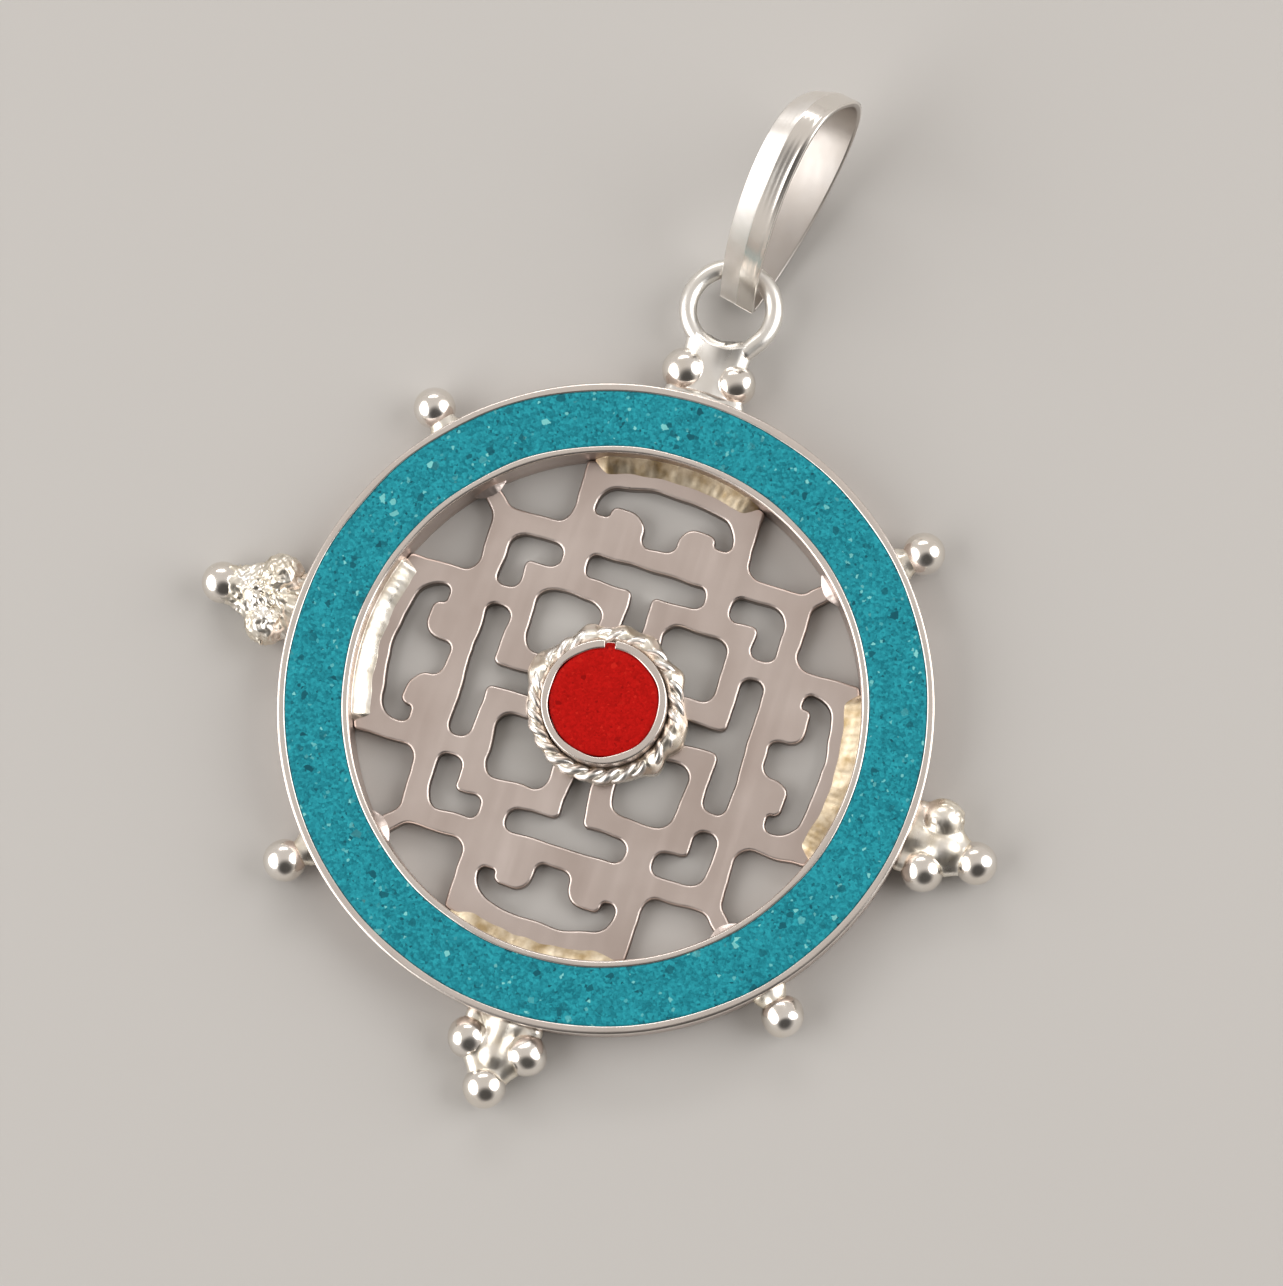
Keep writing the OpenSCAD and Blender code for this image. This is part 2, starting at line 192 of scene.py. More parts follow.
def rounded(corners: list[Corner]) -> np.ndarray:
    """A closed outline with each corner replaced by an arc that touches both its sides.

    Args:
        corners: x, y and radius of each corner; radius 0 keeps it sharp.
    Returns:
        The outline's points.
    """
    table = np.array(corners, float)
    tip, r = table[:, :2], table[:, 2]
    a, b = unit(np.roll(tip, 1, 0) - tip), unit(np.roll(tip, -1, 0) - tip)
    half = np.arccos(np.clip((a * b).sum(1), -1, 1)) / 2
    middle = tip + unit(a + b) * (r / np.sin(half))[:, None]
    start = tip + a * (r / np.tan(half))[:, None] - middle
    finish = tip + b * (r / np.tan(half))[:, None] - middle
    low = np.arctan2(start[:, 1], start[:, 0])
    turn = (np.arctan2(finish[:, 1], finish[:, 0]) - low + math.pi) % TAU - math.pi
    angle = low[:, None] + turn[:, None] * np.linspace(0, 1, ARC_POINTS)
    arcs = middle[:, None] + r[:, None, None] * np.stack([np.cos(angle), np.sin(angle)], -1)
    return arcs.reshape(-1, 2)


def evenly(outline: np.ndarray, spacing: float) -> np.ndarray:
    """A closed outline sampled again at equal steps of its own length.

    Args:
        outline: points in two dimensions.
        spacing: the step.
    Returns:
        The new points.
    """
    ring = np.concatenate([outline, outline[:1]])
    along = np.concatenate([[0], np.cumsum(np.linalg.norm(np.diff(ring, axis=0), axis=1))])
    at = np.linspace(0, along[-1], max(8, round(along[-1] / spacing)), endpoint=False)
    return np.stack([np.interp(at, along, ring[:, k]) for k in range(2)], -1)


def section(span: Pair, rise: Pair, radii: Four, spacing: float) -> np.ndarray:
    """A strip's section by radius and height: a rectangle, rounded by radii from its low inner corner on."""
    places = [(span[0], rise[0]), (span[1], rise[0]), (span[1], rise[1]), (span[0], rise[1])]
    return evenly(rounded([(*place, r) for place, r in zip(places, radii)]), spacing)


def ripple(points: np.ndarray, wavelength: float, seed: int) -> np.ndarray:
    """Smooth unevenness between about -1 and 1: a sum of sine waves in fixed random directions.

    Args:
        points: places, along the last axis.
        wavelength: middle wavelength in millimetres.
        seed: picks the directions and phases.
    Returns:
        One value for each place.
    """
    rng, waves = np.random.default_rng(seed), 9
    ways = unit(rng.normal(size=(waves, points.shape[-1]))).T
    rate = TAU / (wavelength * rng.uniform(0.7, 1.4, waves))
    return np.sin(points @ (ways * rate) + rng.uniform(0, TAU, waves)).sum(-1) / math.sqrt(2 * waves)


def around(turn: np.ndarray, seed: int, lobes: int) -> np.ndarray:
    """Unevenness round a ring, between about -1 and 1, that meets itself after a full turn.

    Args:
        turn: places round the ring, in radians.
        seed: picks the waves' sizes and phases.
        lobes: most waves to a turn.
    Returns:
        One value for each place.
    """
    rng = np.random.default_rng(seed)
    k = np.arange(1, lobes + 1)
    share = rng.normal(size=lobes) / np.sqrt(k)
    return np.sin(turn[..., None] * k + rng.uniform(0, TAU, lobes)) @ share / np.abs(share).sum() * 2


def out_and_back(out: int, back: int) -> np.ndarray:
    """Shares of a radius, from near the axis to the edge and back."""
    return np.concatenate([np.linspace(AXIS_GAP, 1, out), np.linspace(1, AXIS_GAP, back)])


def turned(
    radius: np.ndarray, height: np.ndarray, steps: int, swell: Callable[[np.ndarray], np.ndarray]
) -> Shell:
    """A profile turned on the Z axis, from axis to axis, as rings closed by fans.

    Args:
        radius: radius of each point of the profile.
        height: its height.
        steps: points round each ring.
        swell: factor on the radius for each turn.
    Returns:
        The surface.
    """
    turn = turns(steps)
    wide = radius[:, None] * swell(turn)
    high = np.broadcast_to(height[:, None], wide.shape)
    return loft(np.stack([wide * np.cos(turn), wide * np.sin(turn), high], -1), False)


def tube(path: np.ndarray, radius: np.ndarray, sides: int, closed: bool, up: np.ndarray) -> Shell:
    """A round section carried along a path, square to it.

    Args:
        path: points of the middle line.
        radius: radius at each point.
        sides: points round the section.
        closed: whether the path meets itself.
        up: a direction for each point that isn't along the path, which fixes the section's turn.
    Returns:
        The surface.
    """
    if closed:
        along = unit(np.roll(path, -1, 0) - np.roll(path, 1, 0))
    else:
        along = unit(np.gradient(path, axis=0))
    across = unit(np.cross(along, up))
    out = np.cross(across, along)
    turn = turns(sides)
    circle = np.cos(turn)[:, None] * across[:, None] + np.sin(turn)[:, None] * out[:, None]
    return loft(path[:, None] + radius[:, None, None] * circle, closed)


@dataclass
class Melt:
    """Solder that has run together round balls and round-ended bars.

    Its surface is a soft least of the distances to all of them, moved in and out by waves. Each wave has a
    size, a wavelength and a seed.
    """

    heart: np.ndarray
    reach: float
    balls: list[tuple[np.ndarray, float]]
    bars: list[tuple[np.ndarray, np.ndarray, float]]
    waves: list[tuple[float, float, int]]
    blend: float = 0.12
    grid: tuple[int, int] = (110, 160)
    steps: int = 80

    def distance(self, p: np.ndarray) -> np.ndarray:
        """Distance of points from the surface.

        Args:
            p: the points.
        Returns:
            One value for each, negative inside.
        """
        gaps = [np.linalg.norm(p - centre, axis=-1) - r for centre, r in self.balls]
        for a, b, r in self.bars:
            share = np.clip((p - a) @ (b - a) / ((b - a) @ (b - a)), 0, 1)
            gaps.append(np.linalg.norm(p - a - share[..., None] * (b - a), axis=-1) - r)
        soft = -self.blend * np.log(sum(np.exp(-gap / self.blend) for gap in gaps))
        return soft + sum(size * ripple(p, length, seed) for size, length, seed in self.waves)

    def shell(self) -> Shell:
        """The surface: along each ray from the heart, the first place where the distance turns positive."""
        way = globe(*self.grid)
        r = np.linspace(0, self.reach, self.steps)
        value = self.distance(self.heart + way[..., None, :] * r[:, None])
        value[..., -1] = 1
        after = np.maximum((value > 0).argmax(-1), 1)[..., None]
        v0, v1 = np.take_along_axis(value, after - 1, -1), np.take_along_axis(value, after, -1)
        hit = r[after - 1] - v0 * (r[1] - r[0]) / (v1 - v0)
        return loft(self.heart + way * hit, False)


# Finishes


def linear(hex_colour: str) -> Four:
    """An sRGB hex colour in linear light.

    Args:
        hex_colour: six hex digits after a hash sign.
    Returns:
        Red, green, blue and alpha.
    """
    c = np.array([int(hex_colour[k : k + 2], 16) for k in (1, 3, 5)]) / 255
    r, g, b = np.where(c <= 0.04045, c / 12.92, ((c + 0.055) / 1.055) ** 2.4)
    return float(r), float(g), float(b), 1.0


def grain(size: float) -> float:
    """Texture scale on Object coordinates, which are metres, that gives features of a size in millimetres."""
    return 1 / (size * MM)


def add(tree: bpy.types.NodeTree, kind: str, inputs: dict | None = None, **settings: object) -> Node:
    """Adds a node, with its settings, and fills its inputs with values or links.

    Args:
        tree: the node tree.
        kind: Blender's name for the node.
        inputs: input name or number to a value, or to another node's output socket.
        settings: properties of the node.
    Returns:
        The node.
    """
    node = tree.nodes.new(kind)
    for name, value in settings.items():
        setattr(node, name, value)
    for name, value in (inputs or {}).items():
        if isinstance(value, bpy.types.NodeSocket):
            tree.links.new(value, node.inputs[name])
        else:
            node.inputs[name].default_value = value
    return node


@dataclass
class Recipe:
    """Node tree of a new material, with the nodes that every finish uses."""

    name: str
    material: bpy.types.Material = field(init=False)
    tree: bpy.types.NodeTree = field(init=False)
    place: Socket = field(init=False)

    def __post_init__(self) -> None:
        """Makes the material, empty but for the place of each point on its piece."""
        self.material = bpy.data.materials.new(self.name)
        self.material.use_nodes = True
        self.tree = self.material.node_tree
        self.tree.nodes.clear()
        self.place = add(self.tree, "ShaderNodeTexCoord").outputs["Object"]

    def noise(self, size: float, detail: float, place: Socket | None = None, **more: float) -> Node:
        """Noise with features of a size in millimetres, at the point's own place if no other is given."""
        inputs = {"Vector": place or self.place, "Scale": grain(size), "Detail": detail}
        return add(self.tree, "ShaderNodeTexNoise", inputs | more)

    def ranged(self, value: Socket, low: float, high: float, to: Pair = (0.0, 1.0)) -> Socket:
        """A value's range from low to high, stretched to another range and held at its ends."""
        inputs = {"Value": value, "From Min": low, "From Max": high, "To Min": to[0], "To Max": to[1]}
        return add(self.tree, "ShaderNodeMapRange", inputs).outputs[0]

    def mixed(self, share: Socket, a: Socket | Four, b: Four) -> Socket:
        """A colour between two others, by the second one's share."""
        inputs = {"Factor": share, 6: a, 7: b}
        return add(self.tree, "ShaderNodeMix", inputs, data_type="RGBA").outputs[2]

    def weighed(self, a: Socket, weight: float, b: Socket) -> Socket:
        """One value times a weight, plus another."""
        return add(self.tree, "ShaderNodeMath", {0: a, 1: weight, 2: b}, operation="MULTIPLY_ADD").outputs[0]

    def bump(self, height: Socket, depth: float, **more: Socket) -> Socket:
        """Normals of a relief of a depth in millimetres."""
        inputs = {"Height": height, "Strength": 1.0, "Distance": depth * MM}
        return add(self.tree, "ShaderNodeBump", inputs | more).outputs[0]

    def finish(self, inputs: dict) -> bpy.types.Material:
        """The material, with its shader's inputs filled."""
        shader = add(self.tree, "ShaderNodeBsdfPrincipled", inputs)
        add(self.tree, "ShaderNodeOutputMaterial", {"Surface": shader.outputs[0]})
        return self.material


@dataclass(frozen=True)
class Silver:
    """Sterling silver, worked in one way.

    Tarnish and grain give the sheet a warm grey. Edges worn by handling stay smoother than the faces and are
    whiter, partly as wear and partly as a painted highlight, and walls cut by the fretsaw are darkened with
    painted shade.
    """

    slot: str
    pale: str
    warm: str
    rough: Pair
    patch: float
    grit: float
    grit_depth: float
    streak: float
    streak_depth: float
    # Colour of edges worn by handling: partly wear, partly a painted highlight
    rubbed: str = "#f4efe8"
    # Painted shade: a dark colour for walls cut by the fretsaw and for the inside of the bail
    sawn: str = "#7d7068"
    rub_smooth: float = 0.6
    spread: Pair = (0.3, 0.7)
    draw_turn: float = 0.6
    draw_squeeze: float = 0.08

    def build(self, name: str) -> bpy.types.Material:
        """Makes the material.

        Args:
            name: the material's name.
        Returns:
            Metal whose colour and roughness drift in patches, with grit and drawn streaks in its bump.
        """
        recipe = Recipe(name)
        patches = recipe.noise(self.patch, 3.0).outputs["Fac"]
        grit = recipe.noise(self.grit, 2.0).outputs["Fac"]
        drawn = add(recipe.tree, "ShaderNodeMapping", {
            "Vector": recipe.place, "Rotation": (0.0, 0.0, self.draw_turn),
            "Scale": (1.0, self.draw_squeeze, 1.0)})
        streaks = recipe.noise(self.streak, 3.0, drawn.outputs[0]).outputs["Fac"]
        polish = add(recipe.tree, "ShaderNodeAttribute", attribute_name="polish").outputs["Fac"]
        rub, saw = recipe.ranged(polish, 0.0, 1.0), recipe.ranged(polish, 0.0, -1.0)
        colour = recipe.mixed(recipe.ranged(patches, *self.spread), linear(self.pale), linear(self.warm))
        # Whiter where the value is above 0: wear and a painted highlight
        colour = recipe.mixed(rub, colour, linear(self.rubbed))
        # Darker where the value is below 0: painted shade
        colour = recipe.mixed(saw, colour, linear(self.sawn))
        rough = recipe.ranged(streaks, *self.spread, self.rough)
        least = self.rough[0] * self.rub_smooth
        smooth = add(recipe.tree, "ShaderNodeMix", {"Factor": rub, "A": rough, "B": least})
        pits = recipe.bump(grit, self.grit_depth)
        return recipe.finish({
            "Base Color": colour, "Metallic": 1.0, "Roughness": smooth.outputs[0],
            "Normal": recipe.bump(streaks, self.streak_depth, Normal=pits)})


@dataclass(frozen=True)
class StoneResin:
    """Ground stone or pigment bound in resin, ground down flush on stone.

    Each crushed grain has a tone of its own, a few are pale or dark, and the resin gives it a dull wax gloss.
    """

    slot: str
    ground: str
    mottle: str
    pale: str
    dark: str
    chip: float
    pale_share: float
    dark_share: float
    rough: float
    gloss: float
    large: float = 2.2
    large_share: float = 0.5
    cloud: float = 5.0
    cloud_weight: float = 0.4
    grain_weight: float = 0.55
    tones: Pair = (0.66, 1.36)
    relief: float = 0.04

    def build(self, name: str) -> bpy.types.Material:
        """Makes the material.

        Args:
            name: the material's name.
        Returns:
            Resin whose grains are the cells of two warped cell patterns, fine grains and larger chips.
        """
        recipe = Recipe(name)
        tree = recipe.tree
        fine = recipe.noise(self.chip, 4.0, Roughness=0.7)
        broad = recipe.noise(self.chip * self.cloud, 2.0)
        warp = add(tree, "ShaderNodeVectorMath", {
            0: fine.outputs["Color"], 1: (self.chip * MM,) * 3, 2: recipe.place}, operation="MULTIPLY_ADD")
        chances = []
        for size in (self.chip, self.chip * self.large):
            cells = add(tree, "ShaderNodeTexVoronoi", {"Vector": warp.outputs[0], "Scale": grain(size)})
            chances.append(add(tree, "ShaderNodeSeparateColor", {"Color": cells.outputs["Color"]}).outputs)
        drift = recipe.weighed(broad.outputs["Fac"], self.cloud_weight, fine.outputs["Fac"])
        tone = recipe.weighed(chances[0][0], self.grain_weight, drift)
        colour = recipe.mixed(recipe.ranged(tone, *self.tones), linear(self.ground), linear(self.mottle))
        for chance, rare in zip(chances, (1.0, self.large_share)):
            for channel, share, tint in ((1, self.pale_share, self.pale), (2, self.dark_share, self.dark)):
                chosen = recipe.ranged(chance[channel], 1 - rare * share, 1.0)
                colour = recipe.mixed(chosen, colour, linear(tint))
        return recipe.finish({
            "Base Color": colour, "Roughness": self.rough, "Specular IOR Level": self.gloss,
            "Normal": recipe.bump(fine.outputs["Fac"], self.chip * self.relief)})


FINISHES: dict[Finish, Silver | StoneResin] = {
    # Sawn sheet rubbed with emery: a soft warm grey with a fine grain
    Finish.SATIN: Silver("satin_silver", "#dfd2cb", "#cbbcb4", (0.28, 0.42), 4.5, 0.09, 0.003, 0.6, 0.001),
    # Shot polished on a buff: bright, with slight dents
    Finish.BRIGHT: Silver("bright_silver", "#f3efea", "#ece5db", (0.14, 0.22), 2.0, 0.6, 0.004, 0.4, 0.001),
    # Strip drawn to shape and wiped: white, with a broad sheen, and mirror-like where it is rubbed
    Finish.STRIP: Silver("bright_silver", "#f8f5f1", "#eee8e0", (0.32, 0.4), 2.5, 0.5, 0.001, 0.5, 0.0005),
    # Wire brightened in the tumbler: white, with a soft sheen
    Finish.WIRE: Silver("bright_silver", "#faf8f4", "#f0ece4", (0.26, 0.36), 1.5, 0.3, 0.003, 0.5, 0.001),
    # Hard solder left as it ran: bright, streaked, and yellower than the sheet
    Finish.SOLDER: Silver("solder_silver", "#f8f4ec", "#e9dfcc", (0.24, 0.4), 0.9, 0.3, 0.008, 0.35, 0.003),
    # Solder flooded along a seam and pickled: cream, satin, and streaked
    Finish.FILLET: Silver("solder_silver", "#e9dcc4", "#a9936f", (0.34, 0.52), 0.8, 0.25, 0.006, 0.3, 0.003),
    # Crushed turquoise in resin, ground flush: teal grains with pale and dark chips
    Finish.TURQUOISE: StoneResin(
        "turquoise_resin", "#13707e", "#2ba1af", "#82d1ce", "#115360", 0.14, 0.02, 0.06, 0.42, 0.12),
    # Coral-red pigment in resin, ground flush: nearly even, with a fine grain
    Finish.CORAL: StoneResin(
        "coral_resin", "#a50e09", "#bf1510", "#c62218", "#900a07", 0.11, 0.04, 0.05, 0.55, 0.06),
}
MATERIALS: dict[Finish, bpy.types.Material] = {}


def placed(name: str, data: bpy.types.ID) -> bpy.types.Object:
    """A new object in the scene, at the origin."""
    item = bpy.data.objects.new(name, data)
    bpy.context.scene.collection.objects.link(item)
    return item


def make_piece(name: str, shell: Shell, finish: Finish, nodes: tuple[str, ...], body: str = "wheel") -> None:
    """Writes a surface as a piece of the pendant that stands for CAD nodes.

    Args:
        name: the piece's name.
        shell: the surface, in millimetres.
        finish: what it is made of.
        nodes: CAD nodes that it stands for.
        body: CAD body that it rides on.
    """
    mesh = bpy.data.meshes.new(name)
    mesh.from_pydata((shell.points * MM).tolist(), [], shell.quads.tolist() + shell.tris.tolist())
    mesh.polygons.foreach_set("use_smooth", np.ones(len(mesh.polygons), bool))
    if shell.polish is not None:
        polish = mesh.attributes.new("polish", "FLOAT", "POINT")
        polish.data.foreach_set("value", shell.polish.astype(np.float32))
    if shell.normals is not None:
        mesh.normals_split_custom_set_from_vertices(shell.normals.tolist())
    if finish not in MATERIALS:
        MATERIALS[finish] = FINISHES[finish].build(finish.value)
    mesh.materials.append(MATERIALS[finish])
    piece = placed(name, mesh)
    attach(piece, body)
    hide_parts(*nodes)
    LOG.info("%s: %d faces, %s", name, len(mesh.polygons), finish.value)


def node_middle(node: str) -> np.ndarray:
    """Middle of a CAD node's box, in millimetres."""
    low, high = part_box(node)
    return np.array((low + high) / 2) / MM


# Sub-assemblies


@dataclass
class Rim:
    """Channel of three silver strips, filled with crushed turquoise."""

    rim_r: float = 16.5
    disc_r: float = 12.85
    height: float = 2.4
    floor_t: float = 0.5
    outer_t: float = 0.42
    inner_t: float = 0.36
    inlay_drop: float = 0.02
    uneven: float = 0.06
    lobes: int = 23
    top_wave: float = 0.02
    top_wavelength: float = 3.0
    top_rub: float = 0.6
    rub_depth: float = 0.1
    spacing: float = 0.07
    steps: int = 480

    def ring(self, span: Pair, rise: Pair, radii: Four, seeds: tuple[int | None, int | None]) -> Shell:
        """A strip's section carried round the wheel, whose two radial sides wander a little.

        Args:
            span: inner and outer radius.
            rise: lowest and highest place.
            radii: corner radii of the section.
            seeds: unevenness of the inner and the outer side, or none.
        Returns:
            The surface, worn whiter on its top, partly as a painted highlight.
        """
        profile = section(span, rise, radii, self.spacing)
        turn = turns(self.steps)
        share = (profile[:, 0] - profile[:, 0].min()) / np.ptp(profile[:, 0])
        low, high = (0 * turn if seed is None else around(turn, seed, self.lobes) for seed in seeds)
        radius = profile[:, 0] + self.uneven * (low[:, None] * (1 - share) + high[:, None] * share)
        z = np.broadcast_to(profile[:, 1], radius.shape)
        face = swept(radius, z, turn)
        face[..., 2] += self.top_wave * ripple(face, self.top_wavelength, 5) * (z > self.height / 2)
        shell = loft(face, True)
        # Whiter top band: wear from handling and a painted highlight
        shell.polish = self.top_rub * np.clip((shell.points[:, 2] - self.height) / self.rub_depth + 2, 0, 1)
        return shell

    def build(self) -> None:
        """Makes the floor, both walls and the inlay between them."""
        floor, wall = (0, self.floor_t), (self.floor_t, self.height)
        fill = (self.floor_t, self.height - self.inlay_drop)
        whole = (self.disc_r, self.rim_r)
        inlay = (self.disc_r + self.inner_t, self.rim_r - self.outer_t)
        outer, inner = (inlay[1], self.rim_r), (self.disc_r, inlay[0])
        for name, node, span, rise, radii, seeds in (
            ("floor", "channel_floor", whole, floor, (0.06, 0.1, 0.03, 0.03), (None, None)),
            ("outer_wall", "outer_wall", outer, wall, (0.03, 0.03, 0.13, 0.04), (21, None)),
            ("inner_wall", "inner_wall", inner, wall, (0.03, 0.03, 0.04, 0.12), (None, 22)),
        ):
            make_piece(f"rim_{name}", self.ring(span, rise, radii, seeds), Finish.SATIN, (node,))
        stone = self.ring(inlay, fill, (0.03, 0.03, 0.07, 0.07), (22, 21))
        make_piece("rim_turquoise", stone, Finish.TURQUOISE, ("turquoise_inlay",))


@dataclass
class Fretwork:
    """Pierced disc: a lattice cut from sheet with a fretsaw, with filed edges."""

    disc_r: float = 12.84
    thick: float = 0.8
    slot_w: float = 1.2
    rail_w: float = 1.15
    stem_w: float = 1.1
    ell_arm: float = 1.6
    crescent_margin: float = 1.49
    crescent_depth: float = 2.85
    crescent_w: float = 7.2
    notch_w: float = 1.8
    tip_w: float = 0.8
    tip_drop: float = 0.6
    lobe_gap: float = 1.3
    spoke_w: float = 0.9
    corner_r: float = 0.5
    inside_share: float = 0.7
    soft_r: float = 0.75
    bow_r: float = 0.95
    hook_r: float = 1.15
    hook_share: float = 0.8
    tee_halves: Pair = (3.15, 3.5)
    hub_r: float = 3.57
    radii_across: float = 2.2
    edge_r: float = 0.16
    edge_steps: int = 5
    edge_rub: float = 0.12
    spoke_end_r: float = 0.25
    saw_wander: float = 0.07
    wander_long: float = 2.6
    wander_short: float = 1.1
    true_margin: float = 0.3
    true_fade: float = 0.5
    spacing: float = 0.07

    def arc(self, r: float, low: float, high: float, count: int = 24, end_r: float = 0.0) -> list[Corner]:
        """Corners along an arc round the centre.

        Args:
            r: radius of the arc.
            low: first angle, in radians.
            high: last angle.
            count: number of corners.
            end_r: corner radius of the first and last.
        Returns:
            x, y and corner radius of each.
        """
        angle, ends = np.linspace(low, high, count), np.zeros(count)
        ends[[0, -1]] = end_r
        return [(float(r * np.cos(a)), float(r * np.sin(a)), float(q)) for a, q in zip(angle, ends)]

    def quarter(self, tee: float) -> tuple[list[np.ndarray], list[Corner]]:
        """Openings of one quarter of the lattice, and its stretch of the disc's edge.

        Args:
            tee: half the length of the T slot's bar.
        Returns:
            Outlines of the window, T slot, L slot and crescent on the +Y side, and corners of the edge.
        """
        crescent_r = self.disc_r - self.crescent_margin
        bed = crescent_r - self.crescent_depth
        lobe = crescent_r - self.lobe_gap
        out, inn = bed - self.rail_w, bed - self.rail_w - self.slot_w
        pane, post = inn - self.rail_w, self.stem_w / 2 + self.rail_w
        ell = inn - self.ell_arm
        side = self.crescent_w / 2 + self.rail_w
        r, stem = min(self.corner_r, self.slot_w / self.radii_across), self.stem_w / 2
        inside_r = r * self.inside_share
        hub = math.sqrt(self.hub_r**2 - post**2)
        window = [
            (hub, post, 0.0), *((x, y, self.soft_r) for x, y in ((pane, post), (pane, pane), (post, pane))),
            (post, hub, 0.0), *self.arc(self.hub_r, math.atan2(hub, post), math.atan2(post, hub))[1:-1],
        ]
        rise = math.sqrt(self.hub_r**2 - stem**2)
        half = [(stem, rise, 0.0), (stem, inn, inside_r), (tee, inn, r), (tee, out, r)]
        slot = half + [(-x, y, q) for x, y, q in half[::-1]] + self.arc(
            self.hub_r, math.atan2(rise, -stem), math.atan2(rise, stem))[1:-1]
        angle = [
            (ell, inn, r), (inn, inn, inside_r), (inn, ell, r),
            (out, ell, r), (out, out, self.bow_r), (ell, out, r),
        ]
        wide, notch = self.crescent_w / 2, self.notch_w / 2
        tip = wide - self.tip_w
        tip_r, lobe_r = self.tip_w / self.radii_across, (tip - notch) / self.radii_across
        end = math.asin((wide - self.hook_r * self.hook_share) / crescent_r)
        brow = self.arc(crescent_r, math.pi / 2 - end, math.pi / 2 + end)
        shoulder = brow[0][1] - (wide - brow[0][0]) * math.tan(end)
        half = [
            (notch, bed, self.corner_r), (notch, lobe, lobe_r), (tip, lobe, tip_r),
            (tip, lobe - self.tip_drop, tip_r / 2), (wide, lobe - self.tip_drop, tip_r),
            (wide, shoulder, self.hook_r),
        ]
        crescent = half + brow + [(-x, y, q) for x, y, q in half[::-1]]
        step = self.spoke_w / math.sqrt(2)
        spoke = (math.sqrt(2 * self.disc_r**2 - step**2) - step) / 2
        corner = math.atan2(math.sqrt(self.disc_r**2 - side**2), side)
        foot = math.atan2(spoke + step, spoke)
        notch_in = [(side, bed, self.soft_r), (bed - step, bed, self.soft_r)]
        edge = [
            *self.arc(self.disc_r, math.pi - corner, corner, end_r=self.spoke_end_r), *notch_in,
            *self.arc(self.disc_r, foot, math.pi / 2 - foot, 2, self.spoke_end_r),
            *[(y, x, q) for x, y, q in notch_in[::-1]],
        ]
        return [rounded(o) for o in (window, slot, angle, crescent)], edge

    def outlines(self) -> list[np.ndarray]:
        """Every outline of the disc, with the metal on its left.

        Returns:
            The disc's edge first, then the openings, as evenly spaced points that wander as a saw does.
        """
        quarters = [self.quarter(tee) for tee in self.tee_halves * 2]
        angles = (0, -TAU / 4, -TAU / 2, TAU / 4)
        ways = [np.array([[math.cos(a), math.sin(a)], [-math.sin(a), math.cos(a)]]) for a in angles]
        rim = [(*(np.array(c[:2]) @ way), c[2]) for way, (_, edge) in zip(ways, quarters) for c in edge]
        loops = [rounded(rim)] + [o @ way for way, (openings, _) in zip(ways, quarters) for o in openings]
        found = []
        for k, loop in enumerate(loops):
            loop = evenly(loop, self.spacing)
            x, y = loop.T
            area = (x * np.roll(y, -1) - y * np.roll(x, -1)).sum()
            loop = loop if (area > 0) == (k == 0) else loop[::-1]
            depth = self.disc_r - self.true_margin - np.linalg.norm(loop, axis=1)
            inner = np.clip(depth / self.true_fade, 0, 1)[:, None]
            along = ripple(loop, self.wander_long, 31) + 0.3 * ripple(loop, self.wander_short, 33)
            drift = np.stack([along, ripple(loop, self.wander_long, 32)], -1)
            found.append(loop + self.saw_wander * inner * drift)
        return found

    def build(self) -> None:
        """Makes the disc.

        The faces are cut by the outlines, and a quarter-round edge, the wall left by the fretsaw and a second
        quarter-round are carried along each outline.
        """
        loops = self.outlines()
        lean = np.linspace(0, math.pi / 2, self.edge_steps)
        top = np.stack([1 - np.sin(lean), self.thick - self.edge_r * (1 - np.cos(lean))], -1)
        low = np.stack([1 - np.cos(lean), self.edge_r * (1 - np.sin(lean))], -1)
        profile = np.concatenate([top, low])
        tilt = np.concatenate([lean, lean + math.pi / 2])
        points, normals, quads, rings, start = [], [], [], [], 0
        for loop in loops:
            along = unit(np.roll(loop, -1, 0) - np.roll(loop, 1, 0))
            away = np.stack([along[:, 1], -along[:, 0]], -1)
            flat = loop[None] - away[None] * self.edge_r * profile[:, :1, None]
            high = np.broadcast_to(profile[:, 1:], flat.shape[:2])
            points.append(np.concatenate([flat, high[..., None]], -1).reshape(-1, 3))
            facing = np.concatenate([
                away[None] * np.sin(tilt)[:, None, None],
                np.broadcast_to(np.cos(tilt)[:, None, None], (*flat.shape[:2], 1)),
            ], -1)
            normals.append(facing.reshape(-1, 3))
            quads.append(band_quads(len(profile), len(loop), False) + start)
            rings.append(start + np.arange(len(loop)))
            start += flat.shape[0] * flat.shape[1]
        points, normals = np.concatenate(points), np.concatenate(normals)
        top_ids = np.concatenate(rings)
        face = self.cut_face(points[top_ids, :2], [len(r) for r in rings])
        drop = np.concatenate([np.full(len(r), (len(profile) - 1) * len(r)) for r in rings])
        tris = np.concatenate([top_ids[face], (top_ids + drop)[face][:, ::-1]])
        shell = Shell(points, np.concatenate(quads)[:, ::-1], tris, normals, self.rub(normals))
        make_piece("fret_lattice", shell, Finish.SATIN, ("fret_disc",))

    def rub(self, normals: np.ndarray) -> np.ndarray:
        """Colour marks of the disc: front edges, which are handled, a little whiter as wear and a painted
        highlight, and walls cut by the fretsaw darkened with painted shade.

        Args:
            normals: directions of the surface.
        Returns:
            The value of each point, by the surface's slope in degrees: above 0 for the highlight, below 0 for
            the shade.
        """
        slope = np.degrees(np.arccos(np.clip(normals[:, 2], -1, 1)))
        steep = 90 - np.abs(slope - 90)
        # Whiter front edges are wear and a painted highlight; steep walls get painted shade
        return self.edge_rub * np.exp(-(((slope - 30) / 20) ** 2)) - np.clip((steep - 45) / 25, 0, 1)

